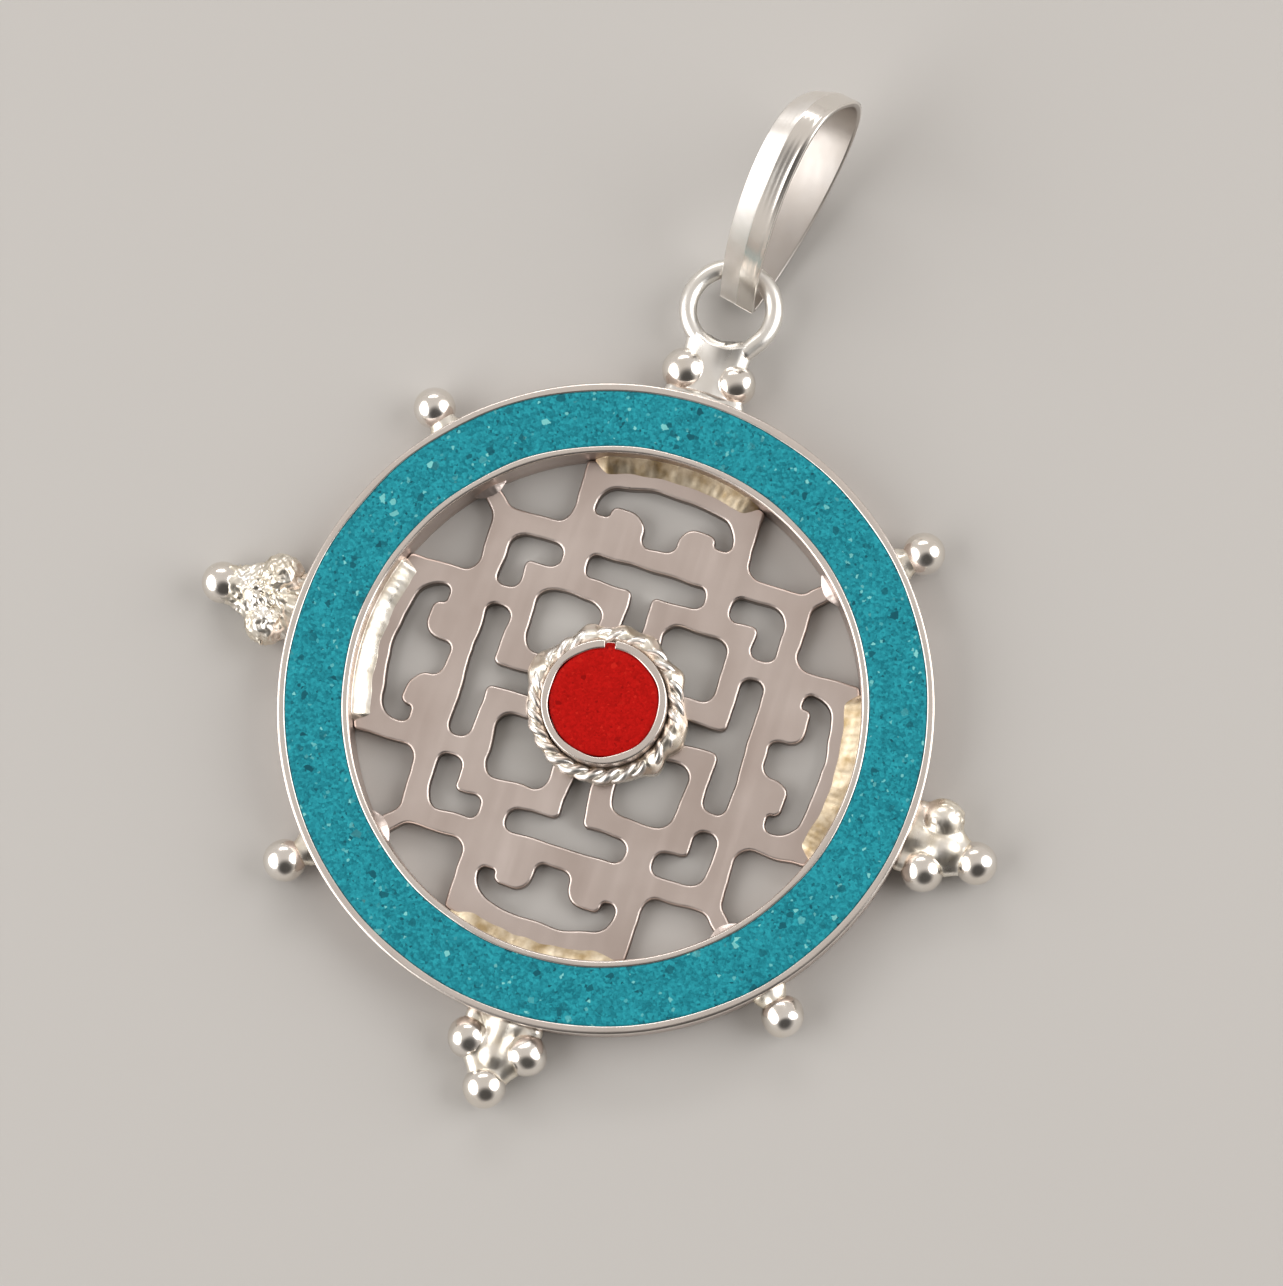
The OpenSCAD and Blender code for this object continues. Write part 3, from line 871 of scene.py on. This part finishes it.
    def cut_face(self, flat: np.ndarray, sizes: list[int]) -> np.ndarray:
        """Triangles of the metal between the outlines.

        Args:
            flat: points of all outlines, one outline after the other.
            sizes: number of points in each.
        Returns:
            Corner numbers, anticlockwise, of triangles whose middle lies inside an odd number of outlines.
        """
        start = np.cumsum([0] + sizes[:-1])
        after = np.concatenate([s + np.roll(np.arange(n), -1) for s, n in zip(start, sizes)])
        pairs = list(zip(range(len(flat)), after.tolist()))
        _, _, faces, origin, _, _ = delaunay_2d_cdt(flat.tolist(), pairs, [], 0, 1e-7, True)
        tris = np.array([origin[k][0] for f in faces for k in f]).reshape(-1, 3)
        mid = flat[tris].mean(1)
        a, b = flat, flat[after]
        odd = np.zeros(len(mid), bool)
        for part in np.array_split(np.arange(len(mid)), 1 + len(mid) // 1000):
            x, y = mid[part, :1], mid[part, 1:]
            span = (a[:, 1] > y) != (b[:, 1] > y)
            rise = np.where(span, b[:, 1] - a[:, 1], 1)
            cross = a[:, 0] + (y - a[:, 1]) * (b[:, 0] - a[:, 0]) / rise
            odd[part] = (span & (x < cross)).sum(1) % 2 == 1
        tris = tris[odd]
        p = flat[tris]
        turn = np.cross(p[:, 1] - p[:, 0], p[:, 2] - p[:, 0])
        return np.where(turn[:, None] > 0, tris, tris[:, ::-1])


@dataclass(frozen=True)
class Run:
    """One run of solder.

    Its angle is in degrees, and the ends are the share of its length over which it thins at each end. The
    bend says how hollow its front is, from 0.5 for a flat one to 0 for one that keeps to the corner.
    """

    angle: float
    width: float
    height: float
    ends: float
    bend: float = 0.42
    finish: Finish = Finish.FILLET


@dataclass
class WallSolder:
    """Solder run into the corner between the disc and the inner wall."""

    disc_r: float = 12.86
    base: float = 0.78
    runs: dict[str, Run] = field(default_factory=lambda: {
        "top": Run(40, 0.8, 0.66, 0.08),
        "left": Run(40, 1.0, 0.62, 0.04, 0.26, Finish.SOLDER),
        "bottom": Run(40, 0.65, 0.26, 0.15),
        "right": Run(40, 0.9, 0.6, 0.06),
    })
    spot: Run = Run(8, 0.45, 0.27, 0.5, finish=Finish.SATIN)
    buried: float = 0.1
    wander: float = 0.05
    streak_depth: float = 0.008
    grid: tuple[int, int] = (120, 14)

    def fillet(self, run: Run, middle: float, seed: int) -> Shell:
        """A fillet carried along the wall.

        The front is a curve from the disc to the wall, bent towards their corner, and it is streaked by where
        the solder was drawn. It thins to each end.

        Args:
            run: the run's size.
            middle: direction of its middle, in degrees from +X.
            seed: picks the unevenness.
        Returns:
            The surface.
        """
        share, t = np.linspace(0, 1, self.grid[0]), np.linspace(0, 1, self.grid[1])[None]
        turn = np.radians(middle + run.angle * (share - 0.5))
        thin = np.sin(np.clip(np.minimum(share, 1 - share) / run.ends, 0, 1) * math.pi / 2)
        drift = 1 + self.wander * ripple(np.stack([turn * self.disc_r, 0 * turn], -1), 1.6, seed)
        size = ((0.1 + 0.9 * thin) * drift)[:, None]
        wide, high = run.width * size, run.height * size
        inward = wide * ((1 - t) ** 2 + 2 * t * (1 - t) * run.bend)
        rise = high * (t**2 + 2 * t * (1 - t) * run.bend)
        place = np.stack(np.broadcast_arrays(turn[:, None] * self.disc_r, inward), -1)
        drawn = ripple(place * (1, 0.12), 0.35, seed + 1) + 0.6 * ripple(place * (1, 0.3), 0.9, seed + 2)
        ridge = np.sin(math.pi * t) * self.streak_depth * drawn
        back = np.full((len(turn), 1), self.buried)
        radius = self.disc_r + np.concatenate([-inward - ridge, back, back, -wide], 1)
        z = self.base + np.concatenate([rise + ridge, high * 0.8, -back, -back], 1)
        return loft(swept(radius, z, turn), False)

    def build(self) -> None:
        """Makes the four runs and the spots at the spokes' ends."""
        for k, (side, run) in enumerate(self.runs.items()):
            shell = self.fillet(run, 90 + 90 * k, 40 + 5 * k)
            make_piece(f"wall_solder_{side}", shell, run.finish, (f"solder_run_{side}",))
        spots = [self.fillet(self.spot, 45 + 90 * k, 60 + 5 * k) for k in range(4)]
        make_piece("spoke_solder_spots", joined(spots), self.spot.finish, ("spoke_solder",))


@dataclass
class Hub:
    """Coral setting in a bezel, with two twisted wires laid round it on a base plate."""

    base: float = 0.8
    plate_t: float = 0.3
    plate_r: float = 3.94
    plate_edge: float = 0.1
    plate_uneven: float = 0.02
    bezel_r: float = 3.15
    bezel_t: float = 0.4
    bezel_h: float = 1.8
    bezel_uneven: float = 0.14
    bezel_rub: float = 0.5
    rub_depth: float = 0.1
    seam_w: float = 0.5
    seam_depth: float = 0.6
    seam_turn: float = 11.0
    seam_slope: float = 0.1
    coral_drop: float = 0.12
    coral_dome: float = 0.1
    coral_uneven: float = 0.008
    tongue_reach: float = 0.11
    tongue_drop: float = 0.3
    strand_d: float = 0.42
    strand_uneven: float = 0.16
    slack: float = 0.01
    twist_turns: int = 12
    floods: tuple[float, ...] = (-12, 2, 40, 72, 92, 118, 160, 172, 325)
    flood_w: float = 9.0
    flood_out: float = 0.09
    swell_h: float = 0.6
    swell_w: float = 0.45

    @property
    def seat(self) -> float:
        """Height of the plate's top, on which the bezel and the twist stand."""
        return self.base + self.plate_t

    def seam(self, turn: np.ndarray) -> np.ndarray:
        """Depth of the open seam at each turn round the bezel, between 0 and 1."""
        off = (turn - TAU / 4 - math.radians(self.seam_turn) + math.pi) % TAU - math.pi
        edge = (self.seam_w + self.seam_slope) / 2
        return np.clip((edge - np.abs(off) * self.bezel_r) / self.seam_slope, 0, 1)

    def flood(self, turn: np.ndarray) -> np.ndarray:
        """How far solder has flooded the twist at each turn, as a sum of humps, between 0 and about 1."""
        off = np.degrees(turn)[..., None] - np.array(self.floods)
        return np.exp(-((((off + 180) % 360 - 180) / self.flood_w) ** 2)).sum(-1)

    def plate(self) -> Shell:
        """Base plate, with solder swollen up round its edge."""
        z = np.concatenate([np.full(24, self.base), np.full(60, self.seat)])
        z[24] -= self.plate_edge
        shell = turned(
            out_and_back(24, 60) * self.plate_r, z, 360,
            lambda t: 1 + self.plate_uneven * around(t, 71, 19) + self.flood_out * self.flood(t))
        turn, reach = shell.polar()
        flood = self.flood(turn)
        depth = self.swell_h + 0.25 * flood + 0.08 * ripple(shell.points[:, :2], 0.8, 72)
        off = reach - self.bezel_r - self.strand_d
        fall = np.where(off > 0, (off / (self.swell_w + 0.3 * flood)) ** 2, (off / self.swell_w) ** 4)
        shell.points[:, 2] += depth * np.exp(-fall) * (shell.points[:, 2] > self.base + self.plate_t / 3)
        return shell

    def bezel(self) -> Shell:
        """Bezel strip: a section carried round the hub, lower in the open seam, and worn whiter on its top,
        partly as a painted highlight.
        """
        turn = turns(900)
        inner = self.bezel_r - self.bezel_t
        profile = section((inner, self.bezel_r), (0, self.bezel_h), (0.03, 0.03, 0.07, 0.06), 0.05)
        wide = self.bezel_uneven * around(turn, 73, 9)[:, None]
        radius = profile[:, 0] + wide * (self.bezel_r - profile[:, 0])
        cut = 1 - self.seam(turn)[:, None] * self.seam_depth / self.bezel_h
        shell = loft(swept(radius, self.seat + profile[:, 1] * cut, turn), True)
        # Whiter bezel top: wear and a painted highlight
        shell.polish = self.bezel_rub * (shell.points[:, 2] > self.seat + self.bezel_h - self.rub_depth)
        return shell

    def coral(self) -> Shell:
        """Resin disc, faintly domed, with a tongue run out into the open seam."""
        r = self.bezel_r - self.bezel_t - self.slack
        share = out_and_back(12, 40)
        dome = self.coral_dome * (1 - share[12:] ** 16) - self.coral_drop
        z = self.seat + np.concatenate([np.zeros(12), self.bezel_h + dome])
        shell = turned(share * r, z, 900, lambda t: 1 + self.coral_uneven * around(t, 74, 17))
        turn, reach = shell.polar()
        tongue = self.seam(turn) * np.clip((reach / r - 0.9) / 0.1, 0, 1)
        shell.points[:, :2] *= 1 + self.tongue_reach * tongue[:, None]
        shell.points[:, 2] -= self.tongue_drop * tongue * (shell.points[:, 2] > self.seat + 0.1)
        return shell

    def strand(self, phase: float, seed: int) -> Shell:
        """One wire of the twist: a helix wound on a circle round the bezel.

        Args:
            phase: start of the helix, in radians.
            seed: picks the wire's unevenness.
        Returns:
            The surface.
        """
        turn = turns(840)
        away = self.strand_d + 2 * self.slack
        spin = self.twist_turns * turn + phase + 0.5 * around(turn, 75, 5)
        out = np.stack([np.cos(turn), np.sin(turn), 0 * turn], -1)
        lean = np.cos(spin)[:, None] * out + np.sin(spin)[:, None] * UP
        gap = self.strand_d / 2 * (1 + 0.12 * around(turn, 76, 11))
        path = (self.bezel_r + away) * out + UP * (self.seat + away) + gap[:, None] * lean
        radius = self.strand_d / 2 * (1 + self.strand_uneven * around(turn, seed, 29))
        return tube(path, radius, 16, True, lean)

    def build(self) -> None:
        """Makes the plate, bezel, resin and both wires."""
        make_piece("hub_base_plate", self.plate(), Finish.SOLDER, ("hub_plate",))
        make_piece("hub_bezel_strip", self.bezel(), Finish.SATIN, ("hub_bezel",))
        make_piece("hub_coral", self.coral(), Finish.CORAL, ("coral_inlay",))
        for k, letter in enumerate("ab"):
            wire = self.strand(k * math.pi, 77 + k)
            make_piece(f"hub_twist_{letter}", wire, Finish.WIRE, (f"twist_strand_{letter}",))


class Ball(Enum):
    """How a ball came out of the soldering, as the depth of its dents."""

    SMOOTH = 0.012
    DENTED = 0.04
    CRUSTED = 0.09


@dataclass
class Shot:
    """Shot balls round the rim, and the solder that holds them.

    The webs are radii of the solder between the outermost ball of a group and its other two. The heart and
    the stem have a plain radius, and what a full crust adds to it.
    """

    rim_r: float = 16.5
    crusted: tuple[str, ...] = ("left_ball_2", "left_ball_3", "right_ball_3")
    dented: tuple[str, ...] = ("bottom_ball_2", "bottom_ball_3", "rim_ball_2", "top_ball_right")
    webs: dict[str, Pair] = field(default_factory=lambda: {
        "left": (0.72, 0.5), "right": (0.45, 0.45), "bottom": (0.55, 0.55)})
    crust_depth: float = 0.06
    shrink: float = 0.99
    skin_r: float = 0.9
    crust_r: float = 1.06
    heart_in: float = 0.2
    heart_r: Pair = (0.55, 0.5)
    stem_r: Pair = (0.45, 0.4)
    arm_r: float = 0.6
    leg_r: float = 0.75
    flare_r: float = 0.5
    foot_out: float = 0.1
    neck_ball_r: float = 0.88
    neck_r: float = 0.6
    neck_flare: float = 0.45
    neck_in: float = 0.05

    def ball(self, node: str, seed: int) -> Shell:
        """A ball at a CAD node's place: a sphere moved in and out by its dents and crust.

        Args:
            node: the CAD ball.
            seed: picks the unevenness.
        Returns:
            The surface.
        """
        low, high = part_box(node)
        r = (high - low).x / 2 / MM
        state = Ball.CRUSTED if node in self.crusted else Ball.DENTED if node in self.dented else Ball.SMOOTH
        way = globe(64, 96)
        dents = ripple(way, 1.3, seed) * state.value
        if state is Ball.CRUSTED:
            dents = dents + self.crust_depth * ripple(way, 0.5, seed + 1)
        return loft(node_middle(node) + way * (r * self.shrink + dents - state.value / 2)[..., None], False)

    def group(self, name: str, seed: int) -> Shell:
        """Solder of a group of three: skins, webs, a leg to the rim and a flare along it, run together.

        Args:
            name: left, right or bottom.
            seed: picks the crust.
        Returns:
            The surface, fuller and rougher the more of its balls are crusted.
        """
        nodes = [f"{name}_ball_{k}" for k in (1, 2, 3)]
        tip, a, b = (node_middle(n) for n in nodes)
        base = (a + b) / 2
        out = unit(base * (1, 1, 0))
        heart = (tip + a + b) / 3 - out * self.heart_in
        foot = out * (self.rim_r + self.foot_out) + UP * base[2]
        flare = (a - b) / 2
        skins = [self.crust_r if n in self.crusted else self.skin_r for n in nodes]
        crust = sum(n in self.crusted for n in nodes) / 2
        heart_r, stem_r = (low + more * crust for low, more in (self.heart_r, self.stem_r))
        grains = max(2 * crust - 1, 0)
        return Melt(
            heart, 4.2,
            balls=[*zip((tip, a, b), skins), (heart, heart_r)],
            bars=[
                (tip, a, self.webs[name][0]), (tip, b, self.webs[name][1]), (tip, heart, stem_r),
                (heart, a, self.arm_r), (heart, b, self.arm_r), (heart, foot, self.leg_r),
                (foot - flare, foot + flare, self.flare_r),
            ],
            waves=[(0.02, 1.1, seed), (0.08 * grains, 0.6, seed + 1), (0.06 * grains, 0.32, seed + 2)],
        ).shell()

    def neck(self, node: str, seed: int) -> Shell:
        """Solder neck of a single ball: a short bar that flares onto ball and rim.

        Args:
            node: the CAD ball.
            seed: picks the unevenness.
        Returns:
            The surface.
        """
        ball = node_middle(node)
        out = unit(ball * (1, 1, 0))
        side = np.array([-out[1], out[0], 0]) * self.neck_flare
        foot = out * (self.rim_r - self.neck_in) + UP * ball[2]
        return Melt(
            foot + out * 0.5, 2.6,
            balls=[(ball, self.neck_ball_r)],
            bars=[(foot, ball, self.neck_r), (foot - side, foot + side, self.neck_flare)],
            waves=[(0.03, 0.9, seed)],
        ).shell()

    def build(self) -> None:
        """Makes the balls, the necks and the three groups' solder."""
        groups = ("left", "right", "bottom")
        singles = [f"rim_ball_{k}" for k in (1, 2, 3, 4)]
        others = [f"{g}_ball_{k}" for g in groups for k in (1, 2, 3)] + ["top_ball_left", "top_ball_right"]
        for k, node in enumerate(singles + others):
            finish = Finish.SOLDER if node in self.crusted else Finish.BRIGHT
            make_piece(f"shot_{node}", self.ball(node, 100 + 3 * k), finish, (node,))
        necks = [self.neck(node, 151 + k) for k, node in enumerate(singles)]
        make_piece("shot_necks", joined(necks), Finish.SOLDER, ("ball_solder",))
        for k, name in enumerate(groups):
            lump = self.group(name, 160 + 4 * k)
            make_piece(f"shot_{name}_solder", lump, Finish.SOLDER, (f"{name}_solder",))


@dataclass
class HangingRing:
    """Jump ring soldered into the saddle between the two top balls."""

    rim_r: float = 16.5
    hole_d: float = 3.5
    wire_d: float = 0.92
    ring_y: float = 21.4364
    ring_z: float = 1.55
    wire_span: float = 338.0
    wire_uneven: float = 0.02
    tail_turn: float = 150.0
    tail_span: float = 24.0
    tail_lift: float = 0.26
    tail_round: Corner = (0.86, 0.95, 0.99)
    web_half_turn: float = 56.0
    web_half_w: float = 1.5
    web_t: float = 0.5
    web_end_t: float = 0.1
    web_drop: float = 1.0
    web_sink: float = 0.22
    saddle_r: float = 0.55
    flare_r: float = 0.5
    flare_half: float = 1.6

    @property
    def mid_r(self) -> float:
        """Radius of the wire's middle line."""
        return (self.hole_d + self.wire_d) / 2

    def round_ring(self, radius: np.ndarray | float, turn: np.ndarray) -> np.ndarray:
        """Points in the ring's plane, by distance from its middle and by turn from +Y, in radians."""
        middle = np.array([0, self.ring_y, self.ring_z])
        return middle + np.stack([radius * np.sin(turn), radius * np.cos(turn), 0 * turn], -1)

    def wire(self) -> Shell:
        """The wire: sprung out a little at its end, then once round the ring into the solder."""
        back = np.linspace(0, self.wire_span, 260)
        r = self.mid_r + self.tail_lift * np.clip(1 - back / self.tail_span, 0, 1) ** 2
        path = self.round_ring(r, np.radians(self.tail_turn - back))
        radius = self.wire_d / 2 * (1 + self.wire_uneven * ripple(path, 2.0, 81))
        radius[:3] *= np.array(self.tail_round)
        return tube(path, radius, 28, False, np.broadcast_to(UP, path.shape))

    def web(self, middle: np.ndarray) -> Shell:
        """Solder drawn between ring and balls: flattened loops carried from the ring's foot to the rim.

        Args:
            middle: the place halfway between the two balls.
        Returns:
            The surface, a little thicker at both ends than between them.
        """
        down, place = np.linspace(0, 1, 60)[:, None], turns(128)
        across, rise = np.cos(place), np.sin(place)
        ring = self.round_ring(self.mid_r, np.radians(180 - self.web_half_turn * across))
        low = middle + np.stack([self.web_half_w * across, 0 * across - self.web_drop, 0 * across], -1)
        low[:, 2] = self.ring_z - self.web_sink
        skin = ring + (low - ring) * down[..., None]
        skin[..., 2] += (self.web_t + self.web_end_t * (2 * down - 1) ** 2) * rise
        return loft(skin + 0.02 * ripple(skin, 1.3, 85)[..., None], False)

    def solder(self) -> Shell:
        """Solder saddle: the web, and a lump of both balls' necks run together with a flare along the rim."""
        left, right = node_middle("top_ball_left"), node_middle("top_ball_right")
        foot = np.array([0, self.rim_r - 0.05, left[2]])
        heart = np.array([0, left[1] - 0.2, left[2]])
        flare = np.array([self.flare_half, 0, 0])
        lump = Melt(
            heart, 3.8,
            balls=[(left, 1.0), (right, 0.92)],
            bars=[
                (left, right, self.saddle_r), (heart, foot, self.saddle_r),
                (foot - flare, foot + flare, self.flare_r),
            ],
            waves=[(0.03, 1.1, 84)], blend=0.15,
        ).shell()
        return joined([lump, self.web((left + right) / 2)])

    def build(self) -> None:
        """Makes the ring and its solder."""
        make_piece("ring_wire", self.wire(), Finish.WIRE, ("hang_ring",))
        make_piece("ring_saddle", self.solder(), Finish.WIRE, ("ring_solder",))


@dataclass
class Bail:
    """Ridged strip bent to a drop-shaped loop and hung on the ring."""

    length: float = 12.05
    depth: float = 7.5
    strip_w: float = 2.15
    foot_w: float = 2.0
    strip_t: float = 0.28
    ridge_h: float = 0.2
    ridge_soft: float = 0.06
    draw_depth: float = 0.0012
    draw_line: float = 0.22
    lip_h: float = 0.02
    lip_at: float = 0.8
    lip_w: float = 0.06
    side_at: float = 0.97
    foot_len: float = 0.2
    top_lean: float = 0.5
    seat_h: float = 1.814
    leaf_open: float = 0.82
    leaf_close: float = 0.35
    widen_share: float = 0.35
    tilt: float = 32.5
    twist: float = 8.5
    inside_dull: float = -0.5
    side_rub: float = 0.85
    steps: int = 300

    def leaf(self, share: np.ndarray) -> np.ndarray:
        """Half the loop's depth at a share of its height, as a share of the greatest."""
        widest = self.leaf_open / (self.leaf_open + self.leaf_close)
        peak = widest**self.leaf_open * (1 - widest) ** self.leaf_close
        return share**self.leaf_open * np.clip(1 - share, 0, 1) ** self.leaf_close / peak

    def side(self, across: np.ndarray, out: np.ndarray | float, foot: float, pinch: float) -> np.ndarray:
        """One face of the strip: lines along the loop at places across the strip.

        Args:
            across: place across the strip, from -1 to 1.
            out: how far each line stands outside the strip's outer face.
            foot: height of the lines' lower end over the strip's foot.
            pinch: half the loop's depth at the foot, where the two ends are pinched together.
        Returns:
            Points by step round the loop, by line, by axis, with the ring's wire at the origin.
        """
        turn = (np.arange(self.steps) + 0.5)[:, None] * TAU / self.steps
        share = (1 - np.cos(turn)) / 2
        wide = self.foot_w + (self.strip_w - self.foot_w) * np.clip(share / self.widen_share, 0, 1)
        low = foot - self.seat_h
        high = self.length - self.seat_h + out - self.top_lean * (1 - across) / 2
        half = self.depth / 2 + out
        return np.stack(np.broadcast_arrays(
            across * wide / 2, low + (high - low) * share,
            np.sign(math.pi - turn) * np.hypot(half * self.leaf(share), pinch * (1 - share) ** 4)), -1)

    def build(self) -> None:
        """Makes the bail: a ridged section carried round the loop, then hung on the ring as it lies.

        The right side of its outer face is worn smooth and bright, and its inner face is darkened with
        painted shade.
        """
        across = np.linspace(-self.side_at, self.side_at, 49)
        drawn = self.draw_depth * ripple(across[:, None] * self.strip_w / 2, self.draw_line, 91)
        lip = self.lip_h * np.exp(-(((across - self.lip_at) / self.lip_w) ** 2))
        crown = self.ridge_h * (1 + self.ridge_soft - np.hypot(across, self.ridge_soft)) + drawn + lip
        outer = self.side(across, crown, 0.0, self.strip_t)
        back = np.array([self.side_at, 0.9, 0.5, 0, -0.5, -0.9, -self.side_at])
        inner = self.side(back, -self.strip_t, self.foot_len, 0.0)
        edge = self.side(np.array([1.0, -1.0]), -self.strip_t / 2, self.foot_len / 2, self.strip_t / 2)
        rings = np.concatenate([outer, edge[:, :1], inner, edge[:, 1:]], 1)
        joint = frame["joints"][0]
        pivot, axis = np.array(joint["pos_m"]) / MM, joint["axis"]
        turn = (
            Matrix.Rotation(math.atan2(axis[1], axis[0]), 3, "Z")
            @ Matrix.Rotation(math.radians(self.tilt), 3, "X")
            @ Matrix.Rotation(math.radians(-self.twist), 3, "Y")
        )
        shell = loft(rings @ np.array(turn).T + pivot, True)
        # Inner face and side edges take half the dark wall colour: painted shade inside the loop
        polish = np.concatenate([self.side_rub * (across > 0.02), np.full(len(back) + 2, self.inside_dull)])
        shell.polish = np.tile(polish, self.steps)
        make_piece("bail_loop", shell, Finish.STRIP, ("bail",), "bail")


# Stage


@dataclass(frozen=True)
class SoftBox:
    """A soft box that faces the pendant.

    Its direction is by the picture's right and up and the height over the floor. Lengths are in metres, its
    power is in watts.
    """

    name: str
    way: Corner
    distance: float
    size: Pair
    power: float


@dataclass
class Studio:
    """Pale floor, soft light and the camera over the pendant."""

    roll: float = 17.24
    tilt: float = 10.0
    towards: float = 15.0
    focal_px: float = 3200.0
    frame_px: float = 1283.0
    sensor_mm: float = 36.0
    place: Corner = (15.736, -20.112, 160.383)
    floor_hex: str = "#c0bdb9"
    floor_half: float = 4.0
    floor_gap: float = 0.01
    room_hex: str = "#fff8f2"
    room_levels: Pair = (0.66, 0.08)
    viewer_way: Corner = (0.18, -0.72, 0.66)
    viewer_edge: Pair = (0.6, 0.93)
    boxes: tuple[SoftBox, ...] = (
        SoftBox("left_box", (-0.85, -0.12, 0.5), 0.36, (0.48, 0.38), 0.95),
        SoftBox("right_box", (0.87, 0.1, 0.5), 0.36, (0.34, 0.38), 0.8),
        SoftBox("far_strip", (-0.1, 0.95, 0.6), 0.4, (0.3, 0.08), 0.25),
    )

    def way(self, right: float, up: float, high: float) -> np.ndarray:
        """A vector from its lengths along the picture's right and up, both flat, and its height."""
        r = math.radians(self.roll)
        flat = right * np.array([math.cos(r), math.sin(r), 0]) + up * np.array([-math.sin(r), math.cos(r), 0])
        return flat + high * UP

    def camera(self) -> None:
        """Sets the camera over the pendant, leaning towards the lower right of the picture."""
        a = math.radians(self.towards)
        lean = self.way(math.sin(a), -math.cos(a), 0)
        turn = Matrix.Rotation(math.radians(self.tilt), 3, np.cross(UP, lean).tolist())
        flat = Matrix((self.way(1, 0, 0), self.way(0, 1, 0), UP)).transposed()
        data = bpy.data.cameras.new("camera")
        data.sensor_fit = "HORIZONTAL"
        data.sensor_width = self.sensor_mm
        data.lens = self.sensor_mm * self.focal_px / self.frame_px
        data.clip_start, data.clip_end = 0.01, 50
        camera = placed("camera", data)
        camera.matrix_world = Matrix.Translation(np.array(self.place) * MM) @ (turn @ flat).to_4x4()
        bpy.context.scene.camera = camera

    def lamp(self, box: SoftBox) -> None:
        """Hangs a soft box, turned to the pendant.

        Args:
            box: the soft box.
        """
        data = bpy.data.lights.new(box.name, "AREA")
        data.shape, data.energy = "ELLIPSE", box.power
        data.size, data.size_y = box.size
        back = unit(self.way(*box.way))
        across = unit(np.cross(UP, back))
        turn = Matrix((across, np.cross(back, across), back)).transposed()
        placed(box.name, data).matrix_world = Matrix.Translation(back * box.distance) @ turn.to_4x4()

    def world(self) -> None:
        """A pale room, dim round the place where a viewer leans over the pendant."""
        world = bpy.data.worlds.new("grey_room")
        bpy.context.scene.world = world
        world.use_nodes = True
        tree = world.node_tree
        tree.nodes.clear()
        way = add(tree, "ShaderNodeTexCoord").outputs["Generated"]
        viewer = unit(self.way(*self.viewer_way)).tolist()
        side = add(tree, "ShaderNodeVectorMath", {0: way, 1: viewer}, operation="DOT_PRODUCT")
        level = add(tree, "ShaderNodeMapRange", {
            "Value": side.outputs["Value"], "From Min": self.viewer_edge[0], "From Max": self.viewer_edge[1],
            "To Min": self.room_levels[0], "To Max": self.room_levels[1],
        }, interpolation_type="SMOOTHSTEP")
        light = {"Color": linear(self.room_hex), "Strength": level.outputs[0]}
        sky = add(tree, "ShaderNodeBackground", light)
        add(tree, "ShaderNodeOutputWorld", {"Surface": sky.outputs[0]})

    def floor(self) -> None:
        """A large pale floor just under the pendant's back."""
        mesh = bpy.data.meshes.new("floor")
        s, z = self.floor_half, -self.floor_gap * MM
        mesh.from_pydata([(-s, -s, z), (s, -s, z), (s, s, z), (-s, s, z)], [], [(0, 1, 2, 3)])
        # Matt board: an even pale grey that takes the shadow
        board = Recipe("matt_pale_board")
        mesh.materials.append(board.finish({"Base Color": linear(self.floor_hex), "Roughness": 0.9}))
        placed("floor", mesh)

    def build(self) -> None:
        """Makes the stage."""
        self.camera()
        self.floor()
        self.world()
        for box in self.boxes:
            self.lamp(box)
        bpy.context.scene.view_settings.view_transform = "Standard"


def main() -> None:
    """Builds the pendant and its stage."""
    logging.basicConfig(level=logging.INFO, format="%(name)s: %(message)s")
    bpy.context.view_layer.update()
    Studio().build()
    for part in (Rim(), Fretwork(), WallSolder(), Hub(), Shot(), HangingRing(), Bail()):
        part.build()


if __name__ == "__main__":
    main()
